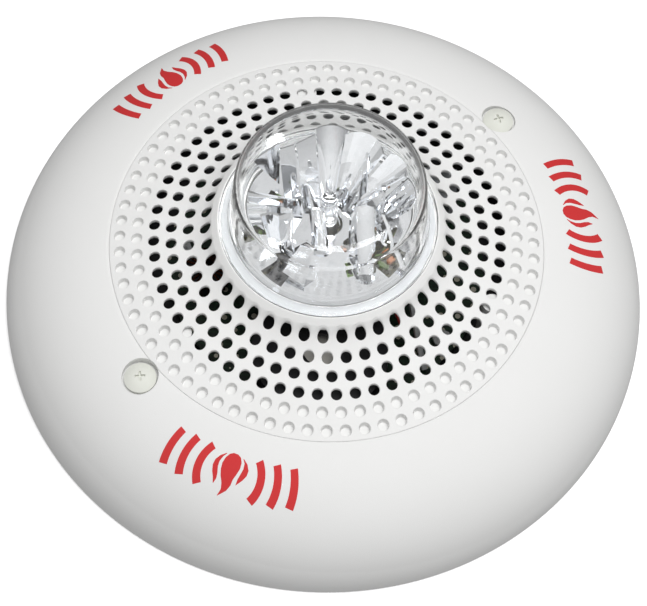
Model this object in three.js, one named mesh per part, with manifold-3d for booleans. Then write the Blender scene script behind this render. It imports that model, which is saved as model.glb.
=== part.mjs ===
// Ceiling horn strobe: a shallow dome with a perforated sounder grille round a clear
// strobe lens, screwed to a mounting plate that carries the wiring terminals.
// Millimetres, +Z away from the ceiling. The origin is the centre of the plate's back.

import * as THREE from "three";
import { mergeVertices } from "three/addons/utils/BufferGeometryUtils.js";
import Module from "manifold-3d";

const wasm = await Module();
wasm.setup();

// ---------------------------------------------------------------- driving dimensions

// Clearances
const FACE_GAP = 0.3; // between two faces that rest on each other
const BORE_GAP = 0.3; // radial, round anything that passes through a hole

// Lens
const LENS_FLANGE_R = 28;
const LENS_FLANGE_T = 1.6;
const LENS_FOOT_R = 25.8; // outside radius of the tube where it meets the flange
const LENS_TOP_R = 24; // outside radius of the tube below the rounded edge
const LENS_EDGE_R = 4.4; // rounded edge at the top
const LENS_HEIGHT = 23.1; // underside of the flange to the crown
const LENS_CROWN = 0.9; // how far the top face bulges
const LENS_WALL = 1.8;
const GASKET_T = 0.8;

// Grille: six rings of holes, the outer two blind, each ring RING_STEP further out
const LIP_WALL = 1.3; // white lip round the lens flange
const FIRST_RING_OFFSET = 1.9; // lip to the first ring of holes
const RING_STEP = 4.5;
const RING_FIRST_COUNT = 42;
const RING_MORE = 6; // each ring has this many more holes than the one inside it
const OPEN_RINGS = 4;
const RING_RISE = [7.5, 4.7, 3.4, 2.5, 1.5, 0.6]; // height of each ring over the panel's edge
const HOLE_R = 1.3;
const RING_PHASE_DEG = 47.9; // all rings have a hole on this line
const PANEL_MARGIN = 2.6; // last ring to the panel's edge
const PANEL_T = 2;
const LIP_RISE = 10.6; // top of the lip over the panel's edge
const SEAT_RISE = 8.7; // gasket seat over the panel's edge

// Dome
const COVER_R = 86.5;
const COVER_LIFT = 0.5; // rim to the ceiling
const DOME_START_R = 50; // centre of the dome's elliptical section
const DOME_HEIGHT = 27;
const COVER_WALL = 2.2;
const LEDGE_W = 3.8; // ledge that carries the panel's edge
const LEDGE_T = 1.8;

// Mounting plate
const PLATE_R = 68;
const PLATE_T = 2.5;
const WIRE_OPENING = { x: 46, y: 30, centreY: -8, corner: 4 };
const BOX_SLOT = { centre: 43, length: 12, width: 4.8 }; // fits boxes with 83 to 89 mm centres

// Captive screws that hold the dome to the plate
const SCREW_EDGE_OFFSET = 4.4; // screw axis outside the panel's edge
const SCREW_ANGLES_DEG = [43, 223];
const SCREW_HEAD_R = 4.1;
const SCREW_HEAD_H = 2.2;
const SCREW_SHANK_R = 1.9;
const SCREW_TIP_Z = 5;
const SCREW_RECESS_R = 4.7;
const SCREW_RECESS_DROP = 3; // recess floor below the panel's edge
const POST_R = 4.4;
const WASHER_T = 0.9;
const PLATE_BOSS_TOP = 13.4;
const INSERT_WALL = 0.75;

// Terminals
const TERMINAL_COUNT = 4;
const TERMINAL_PITCH = 8;
const BLOCK = { depth: 12, height: 6.8, centreY: 18 };
const TERMINAL_SCREW_HEAD_R = 2.6;
const TERMINAL_SCREW_HEAD_H = 1.2;
const TERMINAL_SCREW_SHANK_R = 1.4;
const TERMINAL_SCREW_DEPTH = 4.5;
const WIRE_ENTRY_R = 1.5;
const PIN_SIDE = 1.2;

// Chassis and boards
const CHASSIS_WALL = 1.8;
const CHASSIS_FLOOR_T = 1.5;
const CHASSIS_FLANGE_T = 1.8;
const CHASSIS_UNDER_GAP = 1.1; // terminal block to the chassis floor
const BOARD_T = 1.6;
const STANDOFF_H = 2.3;
const MAIN_BOARD_MARGIN = 7.6; // chassis wall to the board's edge
const CASE_BOSS_ANGLES_DEG = [100, 220, 340];
const CASE_BOSS_R = 2.8;
const CASE_SCREW_LENGTH = 9;
const BOARD_SCREW_LENGTH = 4.3;
const STANDOFF_R = 3;
const SMALL_SHANK_R = 1.2;
const SMALL_HEAD_R = 2.5;
const SMALL_HEAD_H = 1.5;
const BOARD_SCREW_ANGLES_DEG = [60, 180, 325];
const SPACER_ANGLES_DEG = [350, 90, 190];
const SPACER_R = 2.2;
const SPACER_CIRCLE_R = 19;
const STROBE_BOARD_DROP = 4.4; // top of the strobe board below the gasket seat

// Strobe
const REFLECTOR_BASE_T = 1.6;
const REFLECTOR_HEIGHT = 16;
const PETAL = { width: 9, thickness: 1.2, leanDeg: 28, atR: 12, anglesDeg: [90, 45, 135, 10, 170] };
const FIN = { length: 11, thickness: 1, atR: 11.5, anglesDeg: [68, 112, 0, 180, 235, 305] };
const CONE = { topR: 1.5, footR: 5.5, atR: 14, anglesDeg: [215, 325] };
const REFLECTOR_FOOT_R = 1.6;
const CAP_WELL_GAP = 1.2; // radial, reflector to the flash tube's caps
const TUBE_R = 1.9;
const TUBE_LENGTH = 12;
const CAP_R = 2.3;
const CAP_H = 2;

// Sounder and parts on the main board
const SOUNDER = { x: 0, y: -31, r: 17.5, wall: 1.6, outletR: 4.5 };
const SOUNDER_HEADROOM = 1.6; // sounder to the grille's underside
const CAPACITOR = { x: -27, y: 20, r: 6.5 };
const TRANSFORMER = { x: 27, y: 19, w: 13, d: 11 };
const INDUCTOR = { x: -31, y: -8, r: 6, boreR: 2, h: 7 };
const TALL_PART_HEADROOM = 2; // capacitor and transformer to the grille's underside
const WIRE_R = 0.8;

// Controls behind the chassis
const SLIDER = { x: 26, y: -6, w: 3, d: 6, reach: 1.8, flange: 2, steps: 3, step: 2.54 };
const DIAL = { x: -24, y: 6, r: 4, shaftR: 1.6, reach: 1.8, flangeR: 3.2 };

// Shapes that are only taken away: long enough to pass right through a wall
const CUT = 9;
const CUT_START = 3; // how far below the wall they begin

// Facets round each turned shape
const FINE = 48;
const MEDIUM = 24;
const PANEL_SIDES = 24;
const SMALL = 12;
const TINY = 8;
const HOLE_SIDES = 6;

// ---------------------------------------------------------------- places worked out from them

const lipR = LENS_FLANGE_R + BORE_GAP;
const lipOuterR = lipR + LIP_WALL;
const ringRadius = (k) => lipOuterR + FIRST_RING_OFFSET + k * RING_STEP;
const panelR = ringRadius(RING_RISE.length - 1) + PANEL_MARGIN;
const panelEdgeZ = domeZ(panelR, 0);
const lipZ = panelEdgeZ + LIP_RISE;
const seatZ = panelEdgeZ + SEAT_RISE;
const seatBoreR = LENS_FOOT_R - LENS_WALL - 0.5;
const flangeZ = seatZ + GASKET_T + 2 * (FACE_GAP - 0.1);

const ledgeZ = panelEdgeZ - PANEL_T - FACE_GAP;
const ledgeInnerR = panelR + FACE_GAP - LEDGE_W;
const ledgeUnderZ = ledgeZ - LEDGE_T;

const screwCircleR = panelR + SCREW_EDGE_OFFSET;
const recessZ = panelEdgeZ - SCREW_RECESS_DROP;
const washerZ = PLATE_BOSS_TOP + FACE_GAP;
const postZ = washerZ + WASHER_T + FACE_GAP;

const blockZ = PLATE_T + FACE_GAP;
const blockTop = blockZ + BLOCK.height;
const terminalHeadZ = blockTop - TERMINAL_SCREW_HEAD_H;
const chassisZ = blockTop + CHASSIS_UNDER_GAP;
const floorTop = chassisZ + CHASSIS_FLOOR_T;
const chassisR = ledgeInnerR - FACE_GAP - 1.2;
const chassisInnerR = chassisR - CHASSIS_WALL;
const chassisFlangeZ = ledgeUnderZ - FACE_GAP - CHASSIS_FLANGE_T;
const chassisFlangeR = screwCircleR - POST_R - 0.6;

const standoffTop = floorTop + STANDOFF_H;
const boardZ = standoffTop + FACE_GAP;
const boardTop = boardZ + BOARD_T;
const mainBoardR = chassisInnerR - MAIN_BOARD_MARGIN;
const boardScrewCircleR = mainBoardR - 4;
const caseBossCircleR = chassisInnerR - CASE_BOSS_R - 0.9;
const strobeBoardTop = seatZ - STROBE_BOARD_DROP + 1.4;
const strobeBoardZ = strobeBoardTop - BOARD_T;
const reflectorR = seatBoreR - 0.6;
const reflectorZ = seatZ - REFLECTOR_BASE_T;
const reflectorTop = reflectorZ + REFLECTOR_BASE_T;

const terminalX = Array.from(
  { length: TERMINAL_COUNT },
  (_, i) => (i - (TERMINAL_COUNT - 1) / 2) * TERMINAL_PITCH,
);
const blockWidth = TERMINAL_COUNT * TERMINAL_PITCH + 4;
const terminalScrewY = BLOCK.centreY - BLOCK.depth / 8;
const pinY = BLOCK.centreY + BLOCK.depth / 2 - 2.2;

// Height of the dome's outside (inset 0) or inside (inset = wall) at radius r.
function domeZ(r, inset) {
  const across = (r - DOME_START_R) / (COVER_R - inset - DOME_START_R);
  return COVER_LIFT + (DOME_HEIGHT - inset) * Math.sqrt(Math.max(0, 1 - across * across));
}

// ---------------------------------------------------------------- geometry helpers

const radians = THREE.MathUtils.degToRad;

// A point at a radius and an angle in degrees.
function polar(r, degrees) {
  return [r * Math.cos(radians(degrees)), r * Math.sin(radians(degrees))];
}

// Turns a closed profile of [radius, z] points about the Z axis. A profile that touches
// the axis starts and ends on it.
function turned(profile, segments) {
  let area = 0;
  profile.forEach(([r, z], i) => {
    const [nextR, nextZ] = profile[(i + 1) % profile.length];
    area += r * nextZ - nextR * z;
  });
  const points = profile.map(([r, z]) => new THREE.Vector2(r, z));
  if (area < 0) points.reverse();
  if (points[0].x > 0) points.push(points[0].clone());
  return new THREE.LatheGeometry(points, segments).rotateX(Math.PI / 2);
}

// A round bar along Z, standing on z.
function bar(r, height, x, y, z, segments = SMALL) {
  const geometry = new THREE.CylinderGeometry(r, r, height, segments);
  return geometry.rotateX(Math.PI / 2).translate(x, y, z + height / 2);
}

// A box centred on x, y and standing on z.
function block(width, depth, height, x, y, z) {
  return new THREE.BoxGeometry(width, depth, height).translate(x, y, z + height / 2);
}

// A flat ring or washer standing on z.
function ring(innerR, outerR, height, x, y, z, segments = SMALL) {
  const profile = [
    [innerR, 0],
    [outerR, 0],
    [outerR, height],
    [innerR, height],
  ];
  return turned(profile, segments).translate(x, y, z);
}

// An outline with rounded corners, as a shape centred on the origin.
function roundedRectangle(width, depth, corner) {
  const shape = new THREE.Shape();
  const x = width / 2 - corner;
  const y = depth / 2 - corner;
  shape.absarc(x, y, corner, 0, Math.PI / 2);
  shape.absarc(-x, y, corner, Math.PI / 2, Math.PI);
  shape.absarc(-x, -y, corner, Math.PI, 1.5 * Math.PI);
  shape.absarc(x, -y, corner, 1.5 * Math.PI, 2 * Math.PI);
  return shape;
}

// A shape pushed up from z.
function prism(shape, height, x, y, z, curveSegments = 4) {
  const settings = { depth: height, bevelEnabled: false, curveSegments };
  return new THREE.ExtrudeGeometry(shape, settings).translate(x, y, z);
}

// A round wire along a smooth line through the given points.
function wire(points, r) {
  const path = new THREE.CatmullRomCurve3(points.map((p) => new THREE.Vector3(...p)));
  const section = new THREE.Shape();
  section.absarc(0, 0, r, 0, 2 * Math.PI);
  const settings = { extrudePath: path, steps: 2 * points.length, curveSegments: 3 };
  return new THREE.ExtrudeGeometry(section, settings);
}

// A geometry as a solid that can be cut and joined.
function solid(geometry) {
  const bare = new THREE.BufferGeometry();
  bare.setAttribute("position", geometry.getAttribute("position"));
  bare.setIndex(geometry.index);
  const merged = mergeVertices(bare, 1e-4);
  const vertProperties = new Float32Array(merged.attributes.position.array);
  const triVerts = new Uint32Array(merged.index.array);
  return new wasm.Manifold(new wasm.Mesh({ numProp: 3, vertProperties, triVerts }));
}

function joined(geometries) {
  return geometries.map(solid).reduce((whole, piece) => whole.add(piece));
}

// The first geometries joined, with the second ones cut away.
function carved(kept, removed) {
  let whole = joined(kept);
  if (removed.length > 0) whole = whole.subtract(joined(removed));
  const mesh = whole.getMesh();
  const geometry = new THREE.BufferGeometry();
  const position = new THREE.BufferAttribute(new Float32Array(mesh.vertProperties), 3);
  geometry.setAttribute("position", position);
  geometry.setIndex(new THREE.BufferAttribute(new Uint32Array(mesh.triVerts), 1));
  geometry.computeVertexNormals();
  return geometry;
}

// ---------------------------------------------------------------- materials

function material(color, roughness, metalness = 0, opacity = 1) {
  const settings = { color, roughness, metalness, opacity, transparent: opacity < 1 };
  return new THREE.MeshStandardMaterial(settings);
}

const whitePlastic = material(0xe6e7e4, 0.45);
const creamScrew = material(0xdedccb, 0.4, 0.1);
const clearPlastic = material(0xeef2f4, 0.05, 0, 0.35);
const greyRubber = material(0x5b5e60, 0.85);
const mirrorPlating = material(0xdfe2e6, 0.08, 1);
const tubeGlass = material(0xf4f6f8, 0.03, 0, 0.4);
const steel = material(0xa7abad, 0.35, 1);
const brass = material(0xb9974b, 0.35, 1);
const greenBoard = material(0x2f6b34, 0.5);
const blackPlastic = material(0x1b1c1e, 0.55);
const greyPlastic = material(0x8d9092, 0.5);
const ceramic = material(0xefeee6, 0.4);
const copper = material(0x8c4a1e, 0.45, 0.6);
const redSleeve = material(0xa3231f, 0.5);
const greySleeve = material(0xb9bcbc, 0.5);

const hornStrobe = new THREE.Group();
hornStrobe.name = "horn_strobe";

function add(name, geometry, finish) {
  const mesh = new THREE.Mesh(geometry, finish);
  mesh.name = name;
  hornStrobe.add(mesh);
}

// ---------------------------------------------------------------- mounting plate and wiring

function mountingPlate() {
  const kept = [bar(PLATE_R, PLATE_T, 0, 0, 0, FINE)];
  const opening = roundedRectangle(WIRE_OPENING.x, WIRE_OPENING.y, WIRE_OPENING.corner);
  const removed = [prism(opening, PLATE_T + 2, 0, WIRE_OPENING.centreY, -1)];
  for (const degrees of [0, 90, 180, 270]) {
    const slot = roundedRectangle(BOX_SLOT.length, BOX_SLOT.width, BOX_SLOT.width / 2 - 0.01);
    const tool = prism(slot, PLATE_T + 2, BOX_SLOT.centre, 0, -1);
    removed.push(tool.rotateZ(radians(degrees)));
  }
  for (const degrees of SCREW_ANGLES_DEG) {
    const [x, y] = polar(screwCircleR, degrees);
    kept.push(bar(POST_R, PLATE_BOSS_TOP - PLATE_T + 0.5, x, y, PLATE_T - 0.5));
    const insertR = SCREW_SHANK_R + BORE_GAP + INSERT_WALL;
    removed.push(bar(insertR + BORE_GAP, PLATE_BOSS_TOP, x, y, SCREW_TIP_Z - 1));
  }
  return carved(kept, removed);
}

function threadInsert(x, y) {
  const innerR = SCREW_SHANK_R + BORE_GAP;
  const bottom = SCREW_TIP_Z - 1 + FACE_GAP;
  return ring(innerR, innerR + INSERT_WALL, PLATE_BOSS_TOP - bottom, x, y, bottom);
}

function terminalBlock() {
  const kept = [block(blockWidth, BLOCK.depth, BLOCK.height, 0, BLOCK.centreY, blockZ)];
  const removed = [];
  const front = BLOCK.centreY - BLOCK.depth / 2;
  for (const x of terminalX) {
    const headZ = terminalHeadZ - FACE_GAP;
    const shankZ = headZ - TERMINAL_SCREW_DEPTH;
    removed.push(bar(TERMINAL_SCREW_HEAD_R + BORE_GAP, CUT, x, terminalScrewY, headZ));
    removed.push(bar(TERMINAL_SCREW_SHANK_R + BORE_GAP, CUT, x, terminalScrewY, shankZ, TINY));
    const entry = new THREE.CylinderGeometry(WIRE_ENTRY_R, WIRE_ENTRY_R, 6, 6);
    removed.push(entry.translate(x, front + 1, blockZ + BLOCK.height / 2 - 0.6));
    const socket = PIN_SIDE + 2 * BORE_GAP;
    removed.push(block(socket, socket, CUT, x, pinY, blockZ + 1.2));
  }
  return carved(kept, removed);
}

// A screw with a flat head and a plain slot across it.
function terminalScrew(x) {
  const headZ = terminalHeadZ;
  const shankZ = headZ - TERMINAL_SCREW_DEPTH + 0.4;
  const kept = [
    bar(TERMINAL_SCREW_HEAD_R, TERMINAL_SCREW_HEAD_H, x, terminalScrewY, headZ),
    bar(TERMINAL_SCREW_SHANK_R, TERMINAL_SCREW_DEPTH, x, terminalScrewY, shankZ, TINY),
  ];
  const slot = block(2 * TERMINAL_SCREW_HEAD_R + 1, 0.8, 2, x, terminalScrewY, headZ + 0.6);
  return carved(kept, [slot]);
}

// A bent strip that bridges the two middle terminals until the head is fitted.
function shortingSpring() {
  const width = TERMINAL_PITCH + 3;
  const y = BLOCK.centreY + BLOCK.depth / 2 + FACE_GAP;
  const kept = [
    block(width, 0.5, BLOCK.height - 1, 0, y + 0.25, blockZ),
    block(width, 4, 0.5, 0, y + 2, blockZ),
    block(3, 2.5, 0.5, 0, y + 1.25, blockZ + BLOCK.height - 1.5),
  ];
  return carved(kept, []);
}

// ---------------------------------------------------------------- dome, grille and lens

function frontBezel() {
  const outside = [];
  const inside = [];
  const steps = 6;
  const reach = COVER_R - DOME_START_R;
  const from = Math.asin((panelR + FACE_GAP - DOME_START_R) / reach);
  const insideHeight = DOME_HEIGHT - COVER_WALL;
  const insideReach = COVER_R - COVER_WALL - DOME_START_R;
  const insideFrom = Math.acos((ledgeUnderZ - COVER_LIFT) / insideHeight);
  for (let i = 0; i <= steps; i++) {
    const turn = from + ((Math.PI / 2 - from) * i) / steps;
    const r = DOME_START_R + reach * Math.sin(turn);
    outside.push([r, COVER_LIFT + DOME_HEIGHT * Math.cos(turn)]);
    const back = Math.PI / 2 - ((Math.PI / 2 - insideFrom) * i) / steps;
    const innerR = DOME_START_R + insideReach * Math.sin(back);
    inside.push([innerR, COVER_LIFT + insideHeight * Math.cos(back)]);
  }
  const ledge = [
    [ledgeInnerR, ledgeUnderZ],
    [ledgeInnerR, ledgeZ],
    [panelR + FACE_GAP, ledgeZ],
  ];
  const kept = [turned([...outside, ...inside, ...ledge], FINE)];
  const removed = [];
  for (const degrees of SCREW_ANGLES_DEG) {
    const [x, y] = polar(screwCircleR, degrees);
    kept.push(bar(POST_R, recessZ - postZ - 0.2, x, y, postZ));
    removed.push(bar(SCREW_RECESS_R, CUT, x, y, recessZ, MEDIUM));
    removed.push(bar(SCREW_SHANK_R + BORE_GAP + 0.1, DOME_HEIGHT, x, y, postZ - 1));
  }
  return carved(kept, removed);
}

// Holes of the open rings, standing on z.
function grilleHoles(z, height) {
  const holes = [];
  for (let k = 0; k < OPEN_RINGS; k++) {
    const count = RING_FIRST_COUNT + k * RING_MORE;
    for (let i = 0; i < count; i++) {
      const degrees = RING_PHASE_DEG + (360 * i) / count;
      const hole = bar(HOLE_R, height, ringRadius(k), 0, z, HOLE_SIDES);
      holes.push(hole.rotateZ(radians(degrees)));
    }
  }
  return holes;
}

// Underside of the grille panel at the ring k.
function panelUnderZ(k) {
  return panelEdgeZ + RING_RISE[k] - PANEL_T;
}

function grillePanel() {
  const top = [[panelR, panelEdgeZ]];
  const under = [];
  for (let k = OPEN_RINGS; k > 0; k--) {
    const r = (ringRadius(k) + ringRadius(k - 1)) / 2;
    const z = panelEdgeZ + (RING_RISE[k] + RING_RISE[k - 1]) / 2;
    top.push([r, z]);
    under.unshift([r, z - PANEL_T]);
  }
  top.push([lipOuterR + 0.3, lipZ - 0.7], [lipOuterR, lipZ], [lipR, lipZ], [lipR, seatZ]);
  const ledgeRest = [
    [seatBoreR, seatZ],
    [seatBoreR, seatZ - PANEL_T],
    [lipR, seatZ - PANEL_T],
  ];
  const edge = [
    [ledgeInnerR - 0.5, panelEdgeZ - PANEL_T],
    [panelR, panelEdgeZ - PANEL_T],
  ];
  const kept = [turned([...top, ...ledgeRest, ...under, ...edge], PANEL_SIDES)];
  const removed = grilleHoles(panelEdgeZ - 1, LIP_RISE - 1);
  for (const degrees of SCREW_ANGLES_DEG) {
    const [x, y] = polar(screwCircleR, degrees);
    removed.push(bar(SCREW_RECESS_R, CUT, x, y, recessZ, MEDIUM));
  }
  for (const degrees of CASE_BOSS_ANGLES_DEG) {
    const [x, y] = polar(caseBossCircleR, degrees);
    const bottom = floorTop + FACE_GAP;
    kept.push(bar(CASE_BOSS_R, panelEdgeZ - bottom, x, y, bottom, TINY));
    removed.push(bar(SMALL_SHANK_R + 0.25, CUT + 1, x, y, bottom - 1, TINY));
  }
  return carved(kept, removed);
}

function lens() {
  const top = flangeZ + LENS_HEIGHT;
  const outside = [
    [LENS_FLANGE_R, flangeZ],
    [LENS_FLANGE_R, flangeZ + LENS_FLANGE_T],
    [LENS_FOOT_R + 0.3, flangeZ + LENS_FLANGE_T],
  ];
  const inside = [];
  const roundSteps = 2;
  for (let i = 0; i <= roundSteps; i++) {
    const turn = (Math.PI / 2) * (i / roundSteps);
    const z = top - LENS_CROWN - LENS_EDGE_R;
    const innerEdge = LENS_EDGE_R - LENS_WALL;
    const centreR = LENS_TOP_R - LENS_EDGE_R;
    outside.push([centreR + LENS_EDGE_R * Math.cos(turn), z + LENS_EDGE_R * Math.sin(turn)]);
    inside.unshift([centreR + innerEdge * Math.cos(turn), z + innerEdge * Math.sin(turn)]);
  }
  const foot = [[LENS_FOOT_R - LENS_WALL, flangeZ]];
  return turned([[0, top - LENS_WALL], ...inside, ...foot, ...outside, [0, top]], PANEL_SIDES);
}

function lensGasket() {
  const z = seatZ + FACE_GAP - 0.1;
  return ring(seatBoreR + 0.8, LENS_FLANGE_R - 0.5, GASKET_T, 0, 0, z, MEDIUM);
}

function captiveScrew(x, y) {
  const headZ = recessZ + FACE_GAP;
  const profile = [
    [0, SCREW_TIP_Z],
    [SCREW_SHANK_R * 0.6, SCREW_TIP_Z],
    [SCREW_SHANK_R, SCREW_TIP_Z + 1],
    [SCREW_SHANK_R, headZ],
    [SCREW_HEAD_R, headZ],
    [SCREW_HEAD_R, headZ + SCREW_HEAD_H * 0.45],
    [SCREW_HEAD_R * 0.75, headZ + SCREW_HEAD_H * 0.88],
    [0, headZ + SCREW_HEAD_H],
  ];
  const crossZ = headZ + SCREW_HEAD_H * 0.4;
  const cross = [block(4.4, 0.9, 4, x, y, crossZ), block(0.9, 4.4, 4, x, y, crossZ)];
  return carved([turned(profile, SMALL).translate(x, y, 0)], cross);
}

function retainingWasher(x, y) {
  return ring(SCREW_SHANK_R + BORE_GAP, SCREW_SHANK_R + 2, WASHER_T, x, y, washerZ);
}

// ---------------------------------------------------------------- strobe

// A plated moulding: a round base with leaning mirror petals at the back and the sides,
// two cones in front and radial fins between them, open round the flash tube.
function reflector() {
  const kept = [bar(reflectorR, REFLECTOR_BASE_T, 0, 0, reflectorZ, MEDIUM)];
  const footH = reflectorZ - strobeBoardTop - FACE_GAP + 0.4;
  for (const degrees of SPACER_ANGLES_DEG) {
    const [x, y] = polar(SPACER_CIRCLE_R, degrees);
    kept.push(bar(REFLECTOR_FOOT_R, footH, x, y, strobeBoardTop + FACE_GAP, TINY));
  }
  for (const degrees of PETAL.anglesDeg) {
    const petal = block(PETAL.width, PETAL.thickness, REFLECTOR_HEIGHT - 3, 0, 0, 0);
    petal.rotateX(radians(-PETAL.leanDeg)).translate(0, PETAL.atR, reflectorTop - 0.6);
    kept.push(petal.rotateZ(radians(degrees - 90)));
  }
  for (const degrees of FIN.anglesDeg) {
    const finZ = reflectorTop - 0.4;
    const fin = block(FIN.length, FIN.thickness, REFLECTOR_HEIGHT - 4, FIN.atR, 0, finZ);
    kept.push(fin.rotateZ(radians(degrees)));
  }
  for (const degrees of CONE.anglesDeg) {
    const height = REFLECTOR_HEIGHT - 5;
    const cone = new THREE.CylinderGeometry(CONE.topR, CONE.footR, height, SMALL);
    cone.rotateX(Math.PI / 2).translate(CONE.atR, 0, reflectorTop + height / 2 - 0.4);
    kept.push(cone.rotateZ(radians(degrees)));
  }
  const well = bar(CAP_R + CAP_WELL_GAP, 2 * REFLECTOR_HEIGHT, 0, 0, reflectorZ - CUT_START);
  return carved(kept, [well]);
}

function strobeBoard() {
  const kept = [bar(reflectorR, BOARD_T, 0, 0, strobeBoardZ, MEDIUM)];
  const removed = [bar(CAP_R + BORE_GAP, CUT, 0, 0, strobeBoardZ - CUT_START)];
  return carved(kept, removed);
}

// Flash tube: glass between two metal end caps, standing in the boards' central hole.
const lowerCapZ = strobeBoardZ - 0.4;
const lowerCapH = reflectorTop - lowerCapZ + CAP_H;
const glassZ = lowerCapZ + lowerCapH + FACE_GAP;
const upperCapZ = glassZ + TUBE_LENGTH + FACE_GAP;

// ---------------------------------------------------------------- chassis and electronics

function chassis() {
  const wallTop = panelEdgeZ - PANEL_T - FACE_GAP;
  const profile = [
    [0, chassisZ],
    [chassisR, chassisZ],
    [chassisR, chassisFlangeZ],
    [chassisFlangeR, chassisFlangeZ],
    [chassisFlangeR, chassisFlangeZ + CHASSIS_FLANGE_T],
    [chassisR, chassisFlangeZ + CHASSIS_FLANGE_T],
    [chassisR, wallTop],
    [chassisInnerR, wallTop],
    [chassisInnerR, floorTop],
    [0, floorTop],
  ];
  const kept = [turned(profile, PANEL_SIDES)];
  const removed = [];
  const cutZ = chassisZ - CUT_START;
  for (const degrees of BOARD_SCREW_ANGLES_DEG) {
    const [x, y] = polar(boardScrewCircleR, degrees);
    kept.push(bar(STANDOFF_R, STANDOFF_H + 0.5, x, y, floorTop - 0.5));
    removed.push(bar(SMALL_SHANK_R + 0.2, CUT, x, y, floorTop - 0.6, TINY));
  }
  for (const degrees of CASE_BOSS_ANGLES_DEG) {
    const [x, y] = polar(caseBossCircleR, degrees);
    removed.push(bar(SMALL_SHANK_R + 0.5, CUT, x, y, cutZ, TINY));
  }
  const pinSlotW = (TERMINAL_COUNT - 1) * TERMINAL_PITCH + PIN_SIDE + 2;
  removed.push(block(pinSlotW, PIN_SIDE + 2, CUT, 0, pinY, cutZ));
  const travel = SLIDER.steps * SLIDER.step;
  const slotD = SLIDER.d + travel + 2 * BORE_GAP;
  const slotY = SLIDER.y + travel / 2;
  removed.push(block(SLIDER.w + 2 * BORE_GAP, slotD, CUT, SLIDER.x, slotY, cutZ));
  removed.push(bar(DIAL.shaftR + BORE_GAP, CUT, DIAL.x, DIAL.y, cutZ));
  return carved(kept, removed);
}

function mainBoard() {
  const kept = [bar(mainBoardR, BOARD_T, 0, 0, boardZ, MEDIUM)];
  const removed = [];
  for (const degrees of BOARD_SCREW_ANGLES_DEG) {
    const [x, y] = polar(boardScrewCircleR, degrees);
    removed.push(bar(SMALL_SHANK_R + BORE_GAP, CUT, x, y, boardZ - CUT_START, TINY));
  }
  for (const x of terminalX) {
    const hole = PIN_SIDE + 2 * BORE_GAP;
    removed.push(block(hole, hole, CUT, x, pinY, boardZ - CUT_START));
  }
  return carved(kept, removed);
}

// A small screw; up is true where its head is on top.
function smallScrew(x, y, headZ, shankLength, up) {
  const shankZ = up ? headZ - shankLength : headZ + SMALL_HEAD_H - 0.3;
  const kept = [
    bar(SMALL_HEAD_R, SMALL_HEAD_H, x, y, headZ, TINY),
    bar(SMALL_SHANK_R, shankLength + 0.3, x, y, shankZ, 6),
  ];
  const crossZ = up ? headZ + SMALL_HEAD_H - 0.6 : headZ - 0.4;
  return carved(kept, [block(3, 0.7, 1, x, y, crossZ), block(0.7, 3, 1, x, y, crossZ)]);
}

function contactPin(x) {
  const bottom = blockZ + 2.5;
  return block(PIN_SIDE, PIN_SIDE, boardTop + 1.5 - bottom, x, pinY, bottom);
}

// The sounder: a cup with a ledge for the diaphragm, and a cap with the outlet hole.
const sounderTop = panelUnderZ(3) - SOUNDER_HEADROOM;
const sounderZ = boardTop + FACE_GAP;
const sounderCapT = 1.6;
const diaphragmZ = sounderZ + (sounderTop - sounderZ) * 0.4;

function sounderCup() {
  const top = sounderTop - sounderCapT - FACE_GAP;
  const profile = [
    [0, 0],
    [SOUNDER.r, 0],
    [SOUNDER.r, top - sounderZ],
    [SOUNDER.r - SOUNDER.wall, top - sounderZ],
    [SOUNDER.r - SOUNDER.wall, diaphragmZ - FACE_GAP - sounderZ],
    [SOUNDER.r - 2 * SOUNDER.wall, diaphragmZ - FACE_GAP - sounderZ],
    [SOUNDER.r - 2 * SOUNDER.wall, SOUNDER.wall],
    [0, SOUNDER.wall],
  ];
  return turned(profile, MEDIUM).translate(SOUNDER.x, SOUNDER.y, sounderZ);
}

function sounderCap() {
  const z = sounderTop - sounderCapT;
  return ring(SOUNDER.outletR, SOUNDER.r, sounderCapT, SOUNDER.x, SOUNDER.y, z, MEDIUM);
}

const diaphragmR = SOUNDER.r - SOUNDER.wall - BORE_GAP;
const diaphragmT = 0.5;
const piezoR = diaphragmR * 0.62;
const piezoT = 0.6;
const piezoZ = diaphragmZ + diaphragmT + FACE_GAP;

const partZ = boardTop + FACE_GAP;
const tallPartH = panelUnderZ(2) - TALL_PART_HEADROOM - partZ;

// A wound coil between two square cheeks.
function transformer() {
  const { x, y, w, d } = TRANSFORMER;
  const cheek = 1.5;
  const inset = 3;
  const kept = [
    block(w, d, cheek, x, y, partZ),
    block(w - inset, d - inset, tallPartH, x, y, partZ),
    block(w, d, cheek, x, y, partZ + tallPartH - cheek),
  ];
  return carved(kept, []);
}

// ---------------------------------------------------------------- controls

function candelaSlider() {
  const { x, y, w, d, reach, flange } = SLIDER;
  const kept = [
    block(w, d, floorTop - chassisZ + reach + 1, x, y, chassisZ - reach),
    block(w + 2 * flange, d, STANDOFF_H - FACE_GAP, x, y, floorTop + FACE_GAP),
  ];
  return carved(kept, []);
}

function toneDial() {
  const { x, y, r, shaftR, reach, flangeR } = DIAL;
  const diskH = reach - FACE_GAP;
  const kept = [
    bar(r, diskH, x, y, chassisZ - reach),
    bar(shaftR, STANDOFF_H + CHASSIS_FLOOR_T + reach - 0.5, x, y, chassisZ - reach + 0.4),
    bar(flangeR, STANDOFF_H - FACE_GAP, x, y, floorTop + FACE_GAP),
  ];
  const slot = block(2 * r - 1.5, 1, 1.4, x, y, chassisZ - reach - 0.6);
  return carved(kept, [slot]);
}

// ---------------------------------------------------------------- assembly

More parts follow.
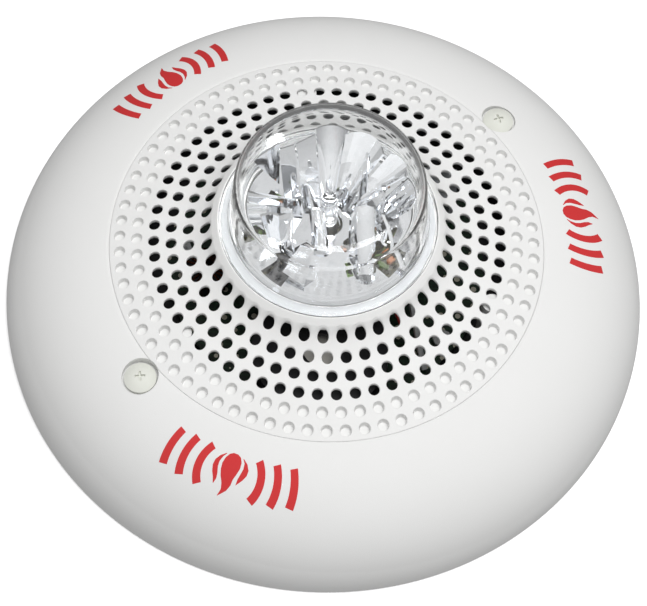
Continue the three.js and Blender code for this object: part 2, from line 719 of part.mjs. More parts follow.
add("mounting_plate", mountingPlate(), whitePlastic);
add("terminal_block", terminalBlock(), blackPlastic);
add("shorting_spring", shortingSpring(), brass);
terminalX.forEach((x, i) => {
  add(`terminal_screw_${i + 1}`, terminalScrew(x), steel);
  add(`contact_pin_${i + 1}`, contactPin(x), brass);
});

add("front_bezel", frontBezel(), whitePlastic);
add("grille_panel", grillePanel(), whitePlastic);
add("lens", lens(), clearPlastic);
add("lens_gasket", lensGasket(), greyRubber);
SCREW_ANGLES_DEG.forEach((degrees, i) => {
  const [x, y] = polar(screwCircleR, degrees);
  add(`captive_screw_${i + 1}`, captiveScrew(x, y), creamScrew);
  add(`retaining_washer_${i + 1}`, retainingWasher(x, y), greyPlastic);
  add(`thread_insert_${i + 1}`, threadInsert(x, y), brass);
});

add("reflector", reflector(), mirrorPlating);
add("strobe_board", strobeBoard(), greenBoard);
add("tube_cap_lower", bar(CAP_R, lowerCapH, 0, 0, lowerCapZ), steel);
add("flash_tube", bar(TUBE_R, TUBE_LENGTH, 0, 0, glassZ), tubeGlass);
add("tube_cap_upper", bar(CAP_R, CAP_H, 0, 0, upperCapZ), steel);

add("chassis", chassis(), blackPlastic);
CASE_BOSS_ANGLES_DEG.forEach((degrees, i) => {
  const [x, y] = polar(caseBossCircleR, degrees);
  const headZ = chassisZ - FACE_GAP - SMALL_HEAD_H;
  add(`case_screw_${i + 1}`, smallScrew(x, y, headZ, CASE_SCREW_LENGTH, false), steel);
});
add("main_board", mainBoard(), greenBoard);
BOARD_SCREW_ANGLES_DEG.forEach((degrees, i) => {
  const [x, y] = polar(boardScrewCircleR, degrees);
  const screw = smallScrew(x, y, boardTop + FACE_GAP, BOARD_SCREW_LENGTH, true);
  add(`board_screw_${i + 1}`, screw, steel);
});
SPACER_ANGLES_DEG.forEach((degrees, i) => {
  const [x, y] = polar(SPACER_CIRCLE_R, degrees);
  const z = boardTop + FACE_GAP;
  add(`board_spacer_${i + 1}`, bar(SPACER_R, strobeBoardZ - FACE_GAP - z, x, y, z, 6), brass);
});

add("sounder_cup", sounderCup(), blackPlastic);
const diaphragm = bar(diaphragmR, diaphragmT, SOUNDER.x, SOUNDER.y, diaphragmZ, MEDIUM);
add("sounder_diaphragm", diaphragm, brass);
add("piezo_disc", bar(piezoR, piezoT, SOUNDER.x, SOUNDER.y, piezoZ, MEDIUM), ceramic);
add("sounder_cap", sounderCap(), blackPlastic);

add("flash_capacitor", bar(CAPACITOR.r, tallPartH, CAPACITOR.x, CAPACITOR.y, partZ), blackPlastic);
add("trigger_transformer", transformer(), greyPlastic);
const { boreR, r: inductorR, h: inductorH } = INDUCTOR;
add("boost_inductor", ring(boreR, inductorR, inductorH, INDUCTOR.x, INDUCTOR.y, partZ), copper);

const wireTopZ = strobeBoardZ - WIRE_R - FACE_GAP;
const wireFootZ = boardTop + WIRE_R + FACE_GAP;
const greyRoute = [
  [16, -8, wireTopZ],
  [21, -12, wireTopZ - 1.5],
  [23.5, -19, (wireTopZ + wireFootZ) / 2],
  [26, -28, wireFootZ + 1.5],
  [27, -31, wireFootZ],
];
const redRoute = [
  [12, -10, wireTopZ],
  [16, -14, wireTopZ - 1.5],
  [19.5, -20, wireTopZ - 5],
  [22.5, -24.5, wireFootZ + 2],
  [23, -27, wireFootZ],
];
add("strobe_lead_grey", wire(greyRoute, WIRE_R), greySleeve);
add("strobe_lead_red", wire(redRoute, WIRE_R), redSleeve);

add("candela_slider", candelaSlider(), whitePlastic);
add("tone_dial", toneDial(), whitePlastic);

export default hornStrobe;
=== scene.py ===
# %% [markdown]
# # A ceiling horn strobe
#
# A horn strobe warns with sound and with light. It is a shallow white dome on a ceiling. A
# perforated grille in the middle lets the sounder be heard, and a clear lens over a plated
# reflector throws the flash of a small tube into the room. The engineering model already
# gives every solid its place, so this script keeps that model as a fixed frame. It adds the
# finer shapes and the finishes round it.

import math

import bmesh
import bpy
from mathutils import Matrix, Vector


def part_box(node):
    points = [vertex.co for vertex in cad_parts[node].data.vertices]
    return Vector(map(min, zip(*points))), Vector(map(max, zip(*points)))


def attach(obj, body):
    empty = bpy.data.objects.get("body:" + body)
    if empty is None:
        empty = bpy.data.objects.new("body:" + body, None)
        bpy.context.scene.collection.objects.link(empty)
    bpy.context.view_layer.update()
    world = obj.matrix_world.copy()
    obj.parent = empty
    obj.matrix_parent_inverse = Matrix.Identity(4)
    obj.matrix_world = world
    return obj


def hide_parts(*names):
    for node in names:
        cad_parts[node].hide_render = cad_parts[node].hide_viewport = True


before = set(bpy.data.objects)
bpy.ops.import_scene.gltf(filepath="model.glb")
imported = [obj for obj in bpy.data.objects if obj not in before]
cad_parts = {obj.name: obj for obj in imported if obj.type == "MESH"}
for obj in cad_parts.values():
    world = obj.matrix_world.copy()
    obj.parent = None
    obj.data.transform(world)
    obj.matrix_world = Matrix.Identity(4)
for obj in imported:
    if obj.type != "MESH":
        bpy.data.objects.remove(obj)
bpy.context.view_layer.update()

# %% [markdown]
# ## Sizes
#
# Blender works in metres and small mouldings are drawn in millimetres, so one constant turns
# the one into the other. Every height is measured from the frame's own solids. If the frame
# grows, the fine pieces grow with it. Typing absolute heights would also work, but they would
# silently go wrong as soon as the frame changed.

# %% Sizes read from the frame
MM = 0.001


def corners(node):
    low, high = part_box(node)
    return low / MM, high / MM


_, grille_high = corners("grille_panel")
bezel_low, bezel_high = corners("front_bezel")
lens_low, lens_high = corners("lens")
_, plate_high = corners("mounting_plate")

PANEL_R = grille_high.x
LIP_TOP = grille_high.z
EDGE_Z = LIP_TOP - 10.6
COVER_R = bezel_high.x
RIM_Z = bezel_low.z
print("panel radius", round(PANEL_R, 2), "panel edge height", round(EDGE_Z, 2))

# %% [markdown]
# ## The camera
#
# The device is seen from above and in front, rather close, so that the dome shows its round
# outline and the lens still stands up. A camera can be aimed with a constraint, but a plain
# matrix is easier to read back: its third column points backwards, away from the subject, and
# the first two are the directions of the picture's right and top. A small roll turns them.

# %% The camera
AIM = Vector((0.03, -19.67, EDGE_Z + 2.44)) * MM
LOOK_DOWN = math.radians(62.85)
ROLL = math.radians(3.51)
DISTANCE = 423.88 * MM

away = Vector((0, -math.cos(LOOK_DOWN), math.sin(LOOK_DOWN)))
level = Vector((1, 0, 0))
upward = Vector((0, math.sin(LOOK_DOWN), math.cos(LOOK_DOWN)))
picture_right = math.cos(ROLL) * level + math.sin(ROLL) * upward
picture_top = -math.sin(ROLL) * level + math.cos(ROLL) * upward

camera = bpy.data.objects.new("camera", bpy.data.cameras.new("camera"))
camera.data.lens = 92.83
camera.data.sensor_width = 36
axes = Matrix((picture_right, picture_top, away)).transposed()
camera.matrix_world = Matrix.Translation(AIM + away * DISTANCE) @ axes.to_4x4()
camera.data.clip_start = 0.01
bpy.context.scene.collection.objects.link(camera)
bpy.context.scene.camera = camera
print("camera height in mm:", round(camera.location.z / MM))

# %% [markdown]
# ## The studio
#
# White plastic on a white ground needs light with a direction, or the dome looks flat. One
# large soft lamp hangs over the device, a little to the right, so that the top is bright and
# the steep rim falls into shade. The room around it is paler in front than behind, which
# helps give the clear lens a dark far edge; painted shade in the lens's finish adds to it.
# Plated parts mirror the room, so for them and for what is seen through the lens it is
# brighter. Point lamps would throw hard shadows and tiny highlights that studio pictures of
# such devices don't have.

# %% Lamp and room light
LAMP_PLACE = (0.165, -0.085, 1.03)
LAMP_WATTS = 9.4


def soft_lamp(name, place, size, watts, aim=(0, 0, 0.03)):
    lamp = bpy.data.lights.new(name, "AREA")
    lamp.shape = "DISK"
    lamp.size = size
    lamp.energy = watts
    holder = bpy.data.objects.new(name, lamp)
    holder.location = place
    turn = (Vector(place) - Vector(aim)).to_track_quat("Z", "Y")
    holder.rotation_euler = turn.to_euler()
    bpy.context.scene.collection.objects.link(holder)
    return holder


def ramp(tree, value, low, high, start, end):
    """A smooth change from start to end while the value goes from low to high."""
    made = tree.nodes.new("ShaderNodeMapRange")
    made.interpolation_type = "SMOOTHSTEP"
    tree.links.new(value, made.inputs["Value"])
    for label, number in (
        ("From Min", low), ("From Max", high), ("To Min", start), ("To Max", end),
    ):
        made.inputs[label].default_value = number
    return made.outputs["Result"]


def product(tree, a, b):
    made = tree.nodes.new("ShaderNodeMath")
    made.operation = "MULTIPLY"
    tree.links.new(a, made.inputs[0])
    tree.links.new(b, made.inputs[1])
    return made.outputs[0]


def room_light(matt, mirrored_low, mirrored_high, behind):
    """A pale room, even for matt surfaces. Mirrors see it darker behind and brighter overhead."""
    world = bpy.data.worlds.new("room_light")
    world.use_nodes = True
    tree = world.node_tree
    background = tree.nodes["Background"]
    background.inputs["Color"].default_value = (1, 1, 1, 1)
    direction = tree.nodes.new("ShaderNodeTexCoord").outputs["Generated"]
    split = tree.nodes.new("ShaderNodeSeparateXYZ")
    tree.links.new(direction, split.inputs[0])
    towards_back = ramp(tree, split.outputs["Y"], 0.0, 0.95, 1.0, behind)
    upwards = ramp(tree, split.outputs["Z"], 0.0, 1.0, mirrored_low, mirrored_high)
    mirrored = product(tree, towards_back, upwards)
    choice = tree.nodes.new("ShaderNodeMix")
    tree.links.new(
        tree.nodes.new("ShaderNodeLightPath").outputs["Is Diffuse Ray"], choice.inputs[0],
    )
    tree.links.new(mirrored, choice.inputs[2])
    choice.inputs[3].default_value = matt
    tree.links.new(choice.outputs[0], background.inputs["Strength"])
    return world


lamp = soft_lamp("overhead_lamp", LAMP_PLACE, 0.7, LAMP_WATTS)
lamp.visible_glossy = False
bpy.context.scene.world = room_light(0.305, 0.6, 1.15, 0.25)
bpy.context.scene.view_settings.view_transform = "Standard"
print("lamp:", LAMP_WATTS, "W at", LAMP_PLACE)

# %% The ground
FLOOR_HALF = 3.0
floor_mesh = bpy.data.meshes.new("floor")
floor_corners = [(-1, -1), (1, -1), (1, 1), (-1, 1)]
floor_points = [(FLOOR_HALF * x, FLOOR_HALF * y, 0) for x, y in floor_corners]
floor_mesh.from_pydata(floor_points, [], [(0, 1, 2, 3)])
floor = bpy.data.objects.new("floor", floor_mesh)
floor.visible_diffuse = False
floor.visible_shadow = False
floor.visible_glossy = False
floor.visible_transmission = False
bpy.context.scene.collection.objects.link(floor)
print("ground:", 2 * FLOOR_HALF, "m square")

# %% [markdown]
# ## Building materials from nodes
#
# A finish is more than a colour. Moulded plastic has a fine eroded grain and slightly uneven
# gloss, metal has turning or drawing marks, a circuit board has tracks. Several finishes
# share the same effects, so each effect is a node group that is built once and used in every
# material with that material's own values. A small helper makes a node, sets its inputs and
# links whatever is given as a socket.

# %% Helpers for node trees
def add_node(tree, kind, inputs=None, **settings):
    made = tree.nodes.new(kind)
    for name, value in settings.items():
        setattr(made, name, value)
    for name, value in (inputs or {}).items():
        if isinstance(value, bpy.types.NodeSocket):
            tree.links.new(value, made.inputs[name])
        else:
            made.inputs[name].default_value = value
    return made


SOCKET_KINDS = {
    "value": "NodeSocketFloat", "colour": "NodeSocketColor", "vector": "NodeSocketVector",
}


def effect_group(name, inputs, outputs):
    """An empty shader node group with its group input and output nodes."""
    tree = bpy.data.node_groups.new(name, "ShaderNodeTree")
    for label, kind in inputs:
        tree.interface.new_socket(label, in_out="INPUT", socket_type=SOCKET_KINDS[kind])
    for label, kind in outputs:
        tree.interface.new_socket(label, in_out="OUTPUT", socket_type=SOCKET_KINDS[kind])
    return tree, tree.nodes.new("NodeGroupInput").outputs, tree.nodes.new("NodeGroupOutput")


def math_node(tree, operation, a, b=0.0):
    made = add_node(tree, "ShaderNodeMath", {0: a, 1: b}, operation=operation)
    return made.outputs[0]


def spread(tree, value, low, high):
    """A 0 to 1 value stretched from low to high."""
    made = add_node(tree, "ShaderNodeMapRange", {"Value": value, "To Min": low, "To Max": high})
    return made.outputs["Result"]


def blended(tree, factor, a, b):
    made = add_node(tree, "ShaderNodeMix", data_type="RGBA")
    for index, value in ((0, factor), (6, a), (7, b)):
        if isinstance(value, bpy.types.NodeSocket):
            tree.links.new(value, made.inputs[index])
        else:
            made.inputs[index].default_value = value
    return made.outputs[2]


print("socket kinds:", sorted(SOCKET_KINDS))

# %% [markdown]
# ## The grain of a moulding
#
# A mould's steel is spark eroded, which leaves a fine even pebble on the plastic. The group
# makes it from a noise that is too small to see one by one, and adds two slower noises, one
# for faint clouding of the colour and one for uneven gloss. A displaced surface would show
# the same pebble but cost millions of faces, so the grain is a bump.

# %% Shared effect: moulded grain
def moulded_grain_group():
    inputs = [("Grain", "value"), ("Depth", "value"), ("Tone", "colour"), ("Second Tone", "colour")]
    inputs += [("Smooth", "value"), ("Rough", "value")]
    outputs = [("Colour", "colour"), ("Roughness", "value"), ("Normal", "vector")]
    tree, given, out = effect_group("moulded_grain", inputs, outputs)
    place = add_node(tree, "ShaderNodeTexCoord").outputs["Object"]
    pebble = add_node(
        tree, "ShaderNodeTexNoise", {"Vector": place, "Scale": given["Grain"], "Detail": 3.0},
    )
    bump = add_node(
        tree, "ShaderNodeBump",
        {"Height": pebble.outputs["Fac"], "Strength": given["Depth"], "Distance": 0.00008},
    )
    clouds = add_node(
        tree, "ShaderNodeTexNoise",
        {"Vector": place, "Scale": 38.0, "Detail": 5.0, "Roughness": 0.6},
    )
    gloss = add_node(tree, "ShaderNodeTexNoise", {"Vector": place, "Scale": 160.0, "Detail": 4.0})
    tree.links.new(
        blended(tree, clouds.outputs["Fac"], given["Tone"], given["Second Tone"]),
        out.inputs["Colour"],
    )
    shine = spread(tree, gloss.outputs["Fac"], given["Smooth"], given["Rough"])
    tree.links.new(shine, out.inputs["Roughness"])
    tree.links.new(bump.outputs["Normal"], out.inputs["Normal"])
    return tree


MOULDED_GRAIN = moulded_grain_group()
print("group:", MOULDED_GRAIN.name, "nodes:", len(MOULDED_GRAIN.nodes))

# %% [markdown]
# ## Drawn and turned metal
#
# Metal parts keep the marks of the tool that made them. They are long thin streaks, which a
# noise gives when its coordinates are squeezed along one axis. The same group darkens random
# patches a little, as handling does. An anisotropic shader would stretch the highlights too,
# but these parts are a few millimetres across and the streaks alone tell what they are.

# %% Shared effect: metal streaks
def metal_streak_group():
    inputs = [("Streaks", "value"), ("Depth", "value"), ("Tone", "colour"), ("Tarnish", "colour")]
    inputs += [("Smooth", "value"), ("Rough", "value")]
    outputs = [("Colour", "colour"), ("Roughness", "value"), ("Normal", "vector")]
    tree, given, out = effect_group("metal_streaks", inputs, outputs)
    place = add_node(tree, "ShaderNodeTexCoord").outputs["Object"]
    squeezed = add_node(tree, "ShaderNodeMapping", {"Vector": place, "Scale": (1.0, 1.0, 0.06)})
    lines = add_node(
        tree, "ShaderNodeTexNoise",
        {"Vector": squeezed.outputs["Vector"], "Scale": given["Streaks"], "Detail": 2.0},
    )
    stain = add_node(
        tree, "ShaderNodeTexNoise",
        {"Vector": place, "Scale": 420.0, "Detail": 5.0, "Roughness": 0.65},
    )
    bump = add_node(
        tree, "ShaderNodeBump",
        {"Height": lines.outputs["Fac"], "Strength": given["Depth"], "Distance": 0.00005},
    )
    dull = add_node(
        tree, "ShaderNodeMapRange",
        {"Value": stain.outputs["Fac"], "From Min": 0.52, "From Max": 0.7},
    )
    tree.links.new(
        blended(tree, dull.outputs["Result"], given["Tone"], given["Tarnish"]),
        out.inputs["Colour"],
    )
    mixed = math_node(tree, "ADD", lines.outputs["Fac"], dull.outputs["Result"])
    tree.links.new(spread(tree, mixed, given["Smooth"], given["Rough"]), out.inputs["Roughness"])
    tree.links.new(bump.outputs["Normal"], out.inputs["Normal"])
    return tree


METAL_STREAKS = metal_streak_group()
print("group:", METAL_STREAKS.name, "nodes:", len(METAL_STREAKS.nodes))

# %% [markdown]
# ## Turning the groups into finishes
#
# The Principled shader stays in each material, and the group only feeds it. Numbers that are
# the same all over a piece, such as the metalness, are set on the shader's own sockets.

# %% Finishes made from the shared effects
def new_finish(name, group, values, **constants):
    finish = bpy.data.materials.new(name)
    finish.use_nodes = True
    tree = finish.node_tree
    shader = tree.nodes["Principled BSDF"]
    effect = add_node(tree, "ShaderNodeGroup", node_tree=group)
    for label, value in values.items():
        effect.inputs[label].default_value = value
    tree.links.new(effect.outputs["Colour"], shader.inputs["Base Color"])
    tree.links.new(effect.outputs["Roughness"], shader.inputs["Roughness"])
    tree.links.new(effect.outputs["Normal"], shader.inputs["Normal"])
    for label, value in constants.items():
        shader.inputs[label.replace("_", " ")].default_value = value
    return finish


def plastic(name, tone, second, smooth, rough, grain=5200.0, depth=0.35, **constants):
    values = {"Grain": grain, "Depth": depth, "Tone": (*tone, 1), "Second Tone": (*second, 1)}
    values.update({"Smooth": smooth, "Rough": rough})
    return new_finish(name, MOULDED_GRAIN, values, **constants)


def metal(name, tone, tarnish, smooth, rough, streaks=6000.0, depth=0.5, metalness=1.0):
    values = {"Streaks": streaks, "Depth": depth, "Tone": (*tone, 1), "Tarnish": (*tarnish, 1)}
    values.update({"Smooth": smooth, "Rough": rough})
    return new_finish(name, METAL_STREAKS, values, Metallic=metalness)


white_shell = plastic("white_shell", (0.745, 0.745, 0.735), (0.775, 0.775, 0.77), 0.38, 0.52)
plate_white = plastic("plate_white", (0.70, 0.70, 0.685), (0.74, 0.74, 0.73), 0.42, 0.6, depth=0.5)
screw_cream = plastic(
    "screw_cream", (0.66, 0.67, 0.61), (0.72, 0.73, 0.68), 0.28, 0.42, grain=3000.0,
)
gasket_rubber = plastic(
    "gasket_rubber", (0.30, 0.31, 0.32), (0.38, 0.39, 0.40), 0.6, 0.8, depth=0.8,
)
black_moulding = plastic(
    "black_moulding", (0.012, 0.012, 0.013), (0.022, 0.022, 0.024), 0.4, 0.62, depth=0.6,
)
grey_moulding = plastic("grey_moulding", (0.24, 0.25, 0.26), (0.3, 0.31, 0.32), 0.4, 0.6, depth=0.5)
fired_ceramic = plastic(
    "fired_ceramic", (0.78, 0.76, 0.7), (0.86, 0.84, 0.78), 0.3, 0.5, grain=2500.0,
)
red_ink = plastic("red_ink", (0.52, 0.022, 0.024), (0.58, 0.030, 0.032), 0.34, 0.48, depth=0.25)
red_sleeve = plastic("red_sleeve", (0.36, 0.02, 0.02), (0.45, 0.03, 0.03), 0.35, 0.55, grain=2000.0)
grey_sleeve = plastic(
    "grey_sleeve", (0.36, 0.37, 0.37), (0.45, 0.46, 0.46), 0.35, 0.55, grain=2000.0,
)
plated_steel = metal("plated_steel", (0.62, 0.63, 0.64), (0.42, 0.42, 0.41), 0.22, 0.42)
bright_brass = metal("bright_brass", (0.72, 0.52, 0.22), (0.42, 0.29, 0.12), 0.2, 0.42)
mirror_plating = metal(
    "mirror_plating", (0.93, 0.94, 0.96), (0.86, 0.88, 0.9), 0.03, 0.09, streaks=900.0, depth=0.12,
)
lacquered_copper = metal("lacquered_copper", (0.07, 0.024, 0.012), (0.04, 0.014, 0.008), 0.3, 0.45)
amber_bead = plastic("amber_bead", (0.34, 0.11, 0.03), (0.42, 0.16, 0.05), 0.3, 0.5, grain=3000.0)
leaf_green = plastic("leaf_green", (0.07, 0.12, 0.035), (0.12, 0.17, 0.05), 0.3, 0.5, grain=3000.0)
print("finishes so far:", len(bpy.data.materials))

# %% [markdown]
# ## Clear plastic
#
# The lens is a clear polycarbonate shell. Cycles bends light through real walls, so the mesh
# has an inside and an outside and the finish has to be clear. A trace of flow lines from
# moulding keeps it from looking like ideal glass. High on the lens, where the surface is seen
# edge on, the finish turns dark grey: painted shade for a dark edge.

# %% Clear finishes
def clear_finish(name, tint, ior, ripple, painted_shade_from=1.0):
    finish = bpy.data.materials.new(name)
    finish.use_nodes = True
    tree = finish.node_tree
    shader = tree.nodes["Principled BSDF"]
    place = add_node(tree, "ShaderNodeTexCoord").outputs["Object"]
    flow = add_node(tree, "ShaderNodeTexNoise", {"Vector": place, "Scale": 90.0, "Detail": 1.0})
    bump = add_node(
        tree, "ShaderNodeBump",
        {"Height": flow.outputs["Fac"], "Strength": ripple, "Distance": 0.0004},
    )
    haze = add_node(tree, "ShaderNodeTexNoise", {"Vector": place, "Scale": 700.0, "Detail": 4.0})
    tree.links.new(spread(tree, haze.outputs["Fac"], 0.0, 0.03), shader.inputs["Roughness"])
    tree.links.new(bump.outputs["Normal"], shader.inputs["Normal"])
    # Painted shade: high on the piece, where its surface is seen edge on, the colour turns dark
    # grey.
    height = add_node(tree, "ShaderNodeSeparateXYZ", {"Vector": place}).outputs["Z"]
    high_up = ramp(tree, height, painted_shade_from, painted_shade_from + 0.003, 0.0, 1.0)
    facing = add_node(tree, "ShaderNodeLayerWeight", {"Blend": 0.5}).outputs["Facing"]
    edge_on = ramp(tree, facing, 0.42, 0.7, 0.0, 1.0)
    dark = math_node(tree, "MULTIPLY", high_up, edge_on)
    tone = blended(tree, dark, (*tint, 1), (0.16, 0.16, 0.17, 1))
    tree.links.new(tone, shader.inputs["Base Color"])
    shader.inputs["Transmission Weight"].default_value = 1.0
    shader.inputs["IOR"].default_value = ior
    return finish


# Height above which the lens's edge-on surface gets painted shade.
LENS_PAINTED_SHADE_FROM = 0.052
lens_clear = clear_finish("lens_clear", (0.985, 0.99, 0.99), 1.5, 0.25, LENS_PAINTED_SHADE_FROM)
tube_clear = clear_finish("tube_clear", (0.97, 0.98, 1.0), 1.47, 0.1)
print("clear finishes:", lens_clear.name, tube_clear.name)

# %% [markdown]
# ## The circuit boards
#
# A board is green lacquer over copper. The copper shows through as slightly lighter tracks
# and pads. A brick pattern gives right-angled tracks, and round cells give the pads, so no
# picture is needed. The tracks stand a few hundredths of a millimetre proud, as bump.

# %% Circuit board finishes
def board_finish(name, lacquer_tone, track_tone):
    finish = bpy.data.materials.new(name)
    finish.use_nodes = True
    tree = finish.node_tree
    shader = tree.nodes["Principled BSDF"]
    place = add_node(tree, "ShaderNodeTexCoord").outputs["Object"]
    track = add_node(
        tree, "ShaderNodeTexBrick", {"Vector": place, "Scale": 150.0, "Mortar Size": 0.035},
    )
    for label, value in (("Color1", 0), ("Color2", 0), ("Mortar", 1)):
        track.inputs[label].default_value = (value, value, value, 1)
    cells = add_node(
        tree, "ShaderNodeTexVoronoi", {"Vector": place, "Scale": 260.0, "Randomness": 0.4},
    )
    pads = math_node(tree, "LESS_THAN", cells.outputs["Distance"], 0.2)
    lacquer = blended(tree, track.outputs["Color"], (*lacquer_tone, 1), (*track_tone, 1))
    tone = blended(tree, pads, lacquer, (0.42, 0.4, 0.33, 1))
    tree.links.new(tone, shader.inputs["Base Color"])
    relief = math_node(tree, "ADD", track.outputs["Color"], pads)
    bump = add_node(
        tree, "ShaderNodeBump", {"Height": relief, "Strength": 0.6, "Distance": 0.00005},
    )
    tree.links.new(bump.outputs["Normal"], shader.inputs["Normal"])
    tree.links.new(spread(tree, pads, 0.35, 0.22), shader.inputs["Roughness"])
    return finish


# The main board is near black: dark green lacquer with painted shade for the unlit inside under the
# grille.
board_dark_painted_shade = board_finish("board_dark_painted_shade", (0.004, 0.012, 0.006), (0.008, 0.028, 0.012))
board_olive = board_finish("board_olive", (0.024, 0.022, 0.010), (0.075, 0.07, 0.028))
print("board finishes:", board_dark_painted_shade.name, board_olive.name)

# %% [markdown]
# ## Dressing the frame's own parts
#
# Parts whose engineering shape is already right keep it. They only get their finish, in the
# material slot that their mesh already has.

# %% Finishes for the frame's parts
def numbered(stem, count):
    return [f"{stem}_{i + 1}" for i in range(count)]


FRAME_FINISHES = [
    (gasket_rubber, ["lens_gasket"]),
    (
        black_moulding,
        ["terminal_block", "chassis", "sounder_cup", "sounder_cap", "flash_capacitor"],
    ),
    (grey_moulding, [*numbered("retaining_washer", 2), "trigger_transformer"]),
    (plated_steel, [*numbered("terminal_screw", 4), *numbered("case_screw", 3)]),
    (plated_steel, [*numbered("board_screw", 3), "tube_cap_lower"]),
    (bright_brass, [*numbered("contact_pin", 4), *numbered("thread_insert", 2), "shorting_spring"]),
    (bright_brass, [*numbered("board_spacer", 3), "sounder_diaphragm"]),
    (board_olive, ["strobe_board"]),
    (board_dark_painted_shade, ["main_board"]),
    (fired_ceramic, ["piezo_disc"]),
    (red_sleeve, ["strobe_lead_red"]),
    (grey_sleeve, ["strobe_lead_grey"]),
    (plate_white, ["candela_slider", "tone_dial"]),
]


def dress(node, finish):
    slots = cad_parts[node].material_slots
    for one in slots:
        one.link = "OBJECT"
        one.material = finish


for finish, nodes in FRAME_FINISHES:
    for node in nodes:
        dress(node, finish)
print("frame parts dressed:", sum(len(nodes) for _, nodes in FRAME_FINISHES))

# %% [markdown]
# ## Making pieces
#
# Most of this device is turned: a profile spun about the upright axis. Blender's Spin and
# Screw can do it, but a few lines that list the corners themselves keep full control of the
# poles and of where rings of corners lie. One helper spins a profile, one closes a mesh and
# points its faces outwards, and one makes the finished object and tells the frame about it.

# %% Helpers for meshes
def turned(profile, segments, x=0.0, y=0.0):
    """Corners and faces of a closed profile of (radius, height) spun about a vertical line."""
    points, faces, rings = [], [], []
    for r, z in profile:
        start = len(points)
        count = 1 if r < 1e-6 else segments
        for i in range(count):
            turn = 2 * math.pi * i / segments
            points.append((x + r * math.cos(turn), y + r * math.sin(turn), z))
        rings.append(range(start, start + count))
    for a, b in zip(rings, rings[1:] + rings[:1]):
        if len(a) == 1 and len(b) == 1:
            continue
        for i in range(segments):
            j = (i + 1) % segments
            around = [a[i % len(a)], a[j % len(a)], b[j % len(b)], b[i % len(b)]]
            faces.append(list(dict.fromkeys(around)))
    return points, faces


def mesh_of(name, *parts):
    """One mesh from several lists of corners and faces, in millimetres."""
    points, faces = [], []
    for part_points, part_faces in parts:
        start = len(points)
        points += [tuple(c * MM for c in p) for p in part_points]
        faces += [[start + i for i in face] for face in part_faces]
    mesh = bpy.data.meshes.new(name)
    mesh.from_pydata(points, [], faces)
    return mesh


def closed_up(mesh, gap=0.002):
    """Merges corners that lie on each other and points every face outwards."""
    work = bmesh.new()
    work.from_mesh(mesh)
    bmesh.ops.remove_doubles(work, verts=work.verts, dist=gap * MM)
    bmesh.ops.recalc_face_normals(work, faces=work.faces)
    loose = [e for e in work.edges if len(e.link_faces) != 2]
    work.to_mesh(mesh)
    work.free()
    return len(loose)


def finished_piece(mesh, finish, body, stands_for=(), crease=30.0):
    open_edges = closed_up(mesh)
    mesh.materials.clear()
    mesh.materials.append(finish)
    mesh.shade_smooth()
    mesh.set_sharp_from_angle(angle=math.radians(crease))
    piece = bpy.data.objects.new(mesh.name, mesh)
    bpy.context.scene.collection.objects.link(piece)
    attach(piece, body)
    if stands_for:
        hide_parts(*stands_for)
    print(mesh.name, "faces:", len(mesh.polygons), "open edges:", open_edges)
    return piece


def boolean_cut(mesh, tool, operation="DIFFERENCE"):
    """The mesh after one exact boolean with a tool, as a new mesh."""
    for one in (mesh, tool):
        closed_up(one)
    target = bpy.data.objects.new("boolean_target", mesh)
    cutter = bpy.data.objects.new("boolean_tool", tool)
    for one in (target, cutter):
        bpy.context.scene.collection.objects.link(one)
    modifier = target.modifiers.new("cut", "BOOLEAN")
    modifier.operation = operation
    modifier.solver = "EXACT"
    modifier.object = cutter
    shapes = bpy.context.evaluated_depsgraph_get()
    result = bpy.data.meshes.new_from_object(target.evaluated_get(shapes))
    result.name = mesh.name
    for one in (target, cutter):
        bpy.data.objects.remove(one)
    return result


def straight_prism(outline, low, high):
    """An outline in the XY plane raised from one height to another."""
    count = len(outline)
    points = [(x, y, z) for z in (low, high) for x, y in outline]
    sides = [[i, (i + 1) % count, count + (i + 1) % count, count + i] for i in range(count)]
    return points, [list(range(count - 1, -1, -1)), list(range(count, 2 * count)), *sides]


print("mesh helpers ready")

# %% [markdown]
# ## The dome
#
# The dome is one moulding: a quarter of an ellipse spun about the axis, with a ledge inside
# for the grille. Two round recesses hold the heads of the captive screws. They could be
# modelled into the grid of the dome, but they sit at odd angles, so an exact boolean cuts
# them out of a finely divided shell and leaves a crisp edge.

# %% The dome's profile
DOME_START_R = 50.0
DOME_HEIGHT = 27.0
COVER_WALL = 2.2
RECESS_R = 4.7
FACE_GAP = 0.3
SEAM_GAP = 0.03
DOME_STEPS = 56
DOME_SEGMENTS = 288


def dome_height(r, inset=0.0):
    across = (r - DOME_START_R) / (COVER_R - inset - DOME_START_R)
    return RIM_Z + (DOME_HEIGHT - inset) * math.sqrt(max(0.0, 1 - across * across))


def dome_profile():
    reach = COVER_R - DOME_START_R
    first = math.asin((PANEL_R + SEAM_GAP + 0.2 - DOME_START_R) / reach)
    outside = []
    for i in range(DOME_STEPS + 1):
        turn = first + (math.pi / 2 - first) * i / DOME_STEPS
        outside.append(
            (DOME_START_R + reach * math.sin(turn), RIM_Z + DOME_HEIGHT * math.cos(turn)),
        )
    inside = []
    ledge_under = EDGE_Z - 2.0 - FACE_GAP - 1.8
    inner_reach, inner_height = reach - COVER_WALL, DOME_HEIGHT - COVER_WALL
    last = math.acos((ledge_under - RIM_Z) / inner_height)
    for i in range(13):
        turn = math.pi / 2 - (math.pi / 2 - last) * i / 12
        inside.append(
            (DOME_START_R + inner_reach * math.sin(turn), RIM_Z + inner_height * math.cos(turn)),
        )
    ledge_r = PANEL_R + FACE_GAP - 3.8
    ledge_top = EDGE_Z - 2.0 - FACE_GAP
    mouth = PANEL_R + SEAM_GAP
    ledge = [(ledge_r, ledge_under), (ledge_r, ledge_top), (mouth, ledge_top)]
    lip = [(mouth, outside[0][1] - 0.2), (mouth + 0.06, outside[0][1] - 0.05)]
    return outside + inside + ledge + lip


dome_mesh = mesh_of("dome", turned(dome_profile(), DOME_SEGMENTS))
print("dome corners:", len(dome_mesh.vertices))

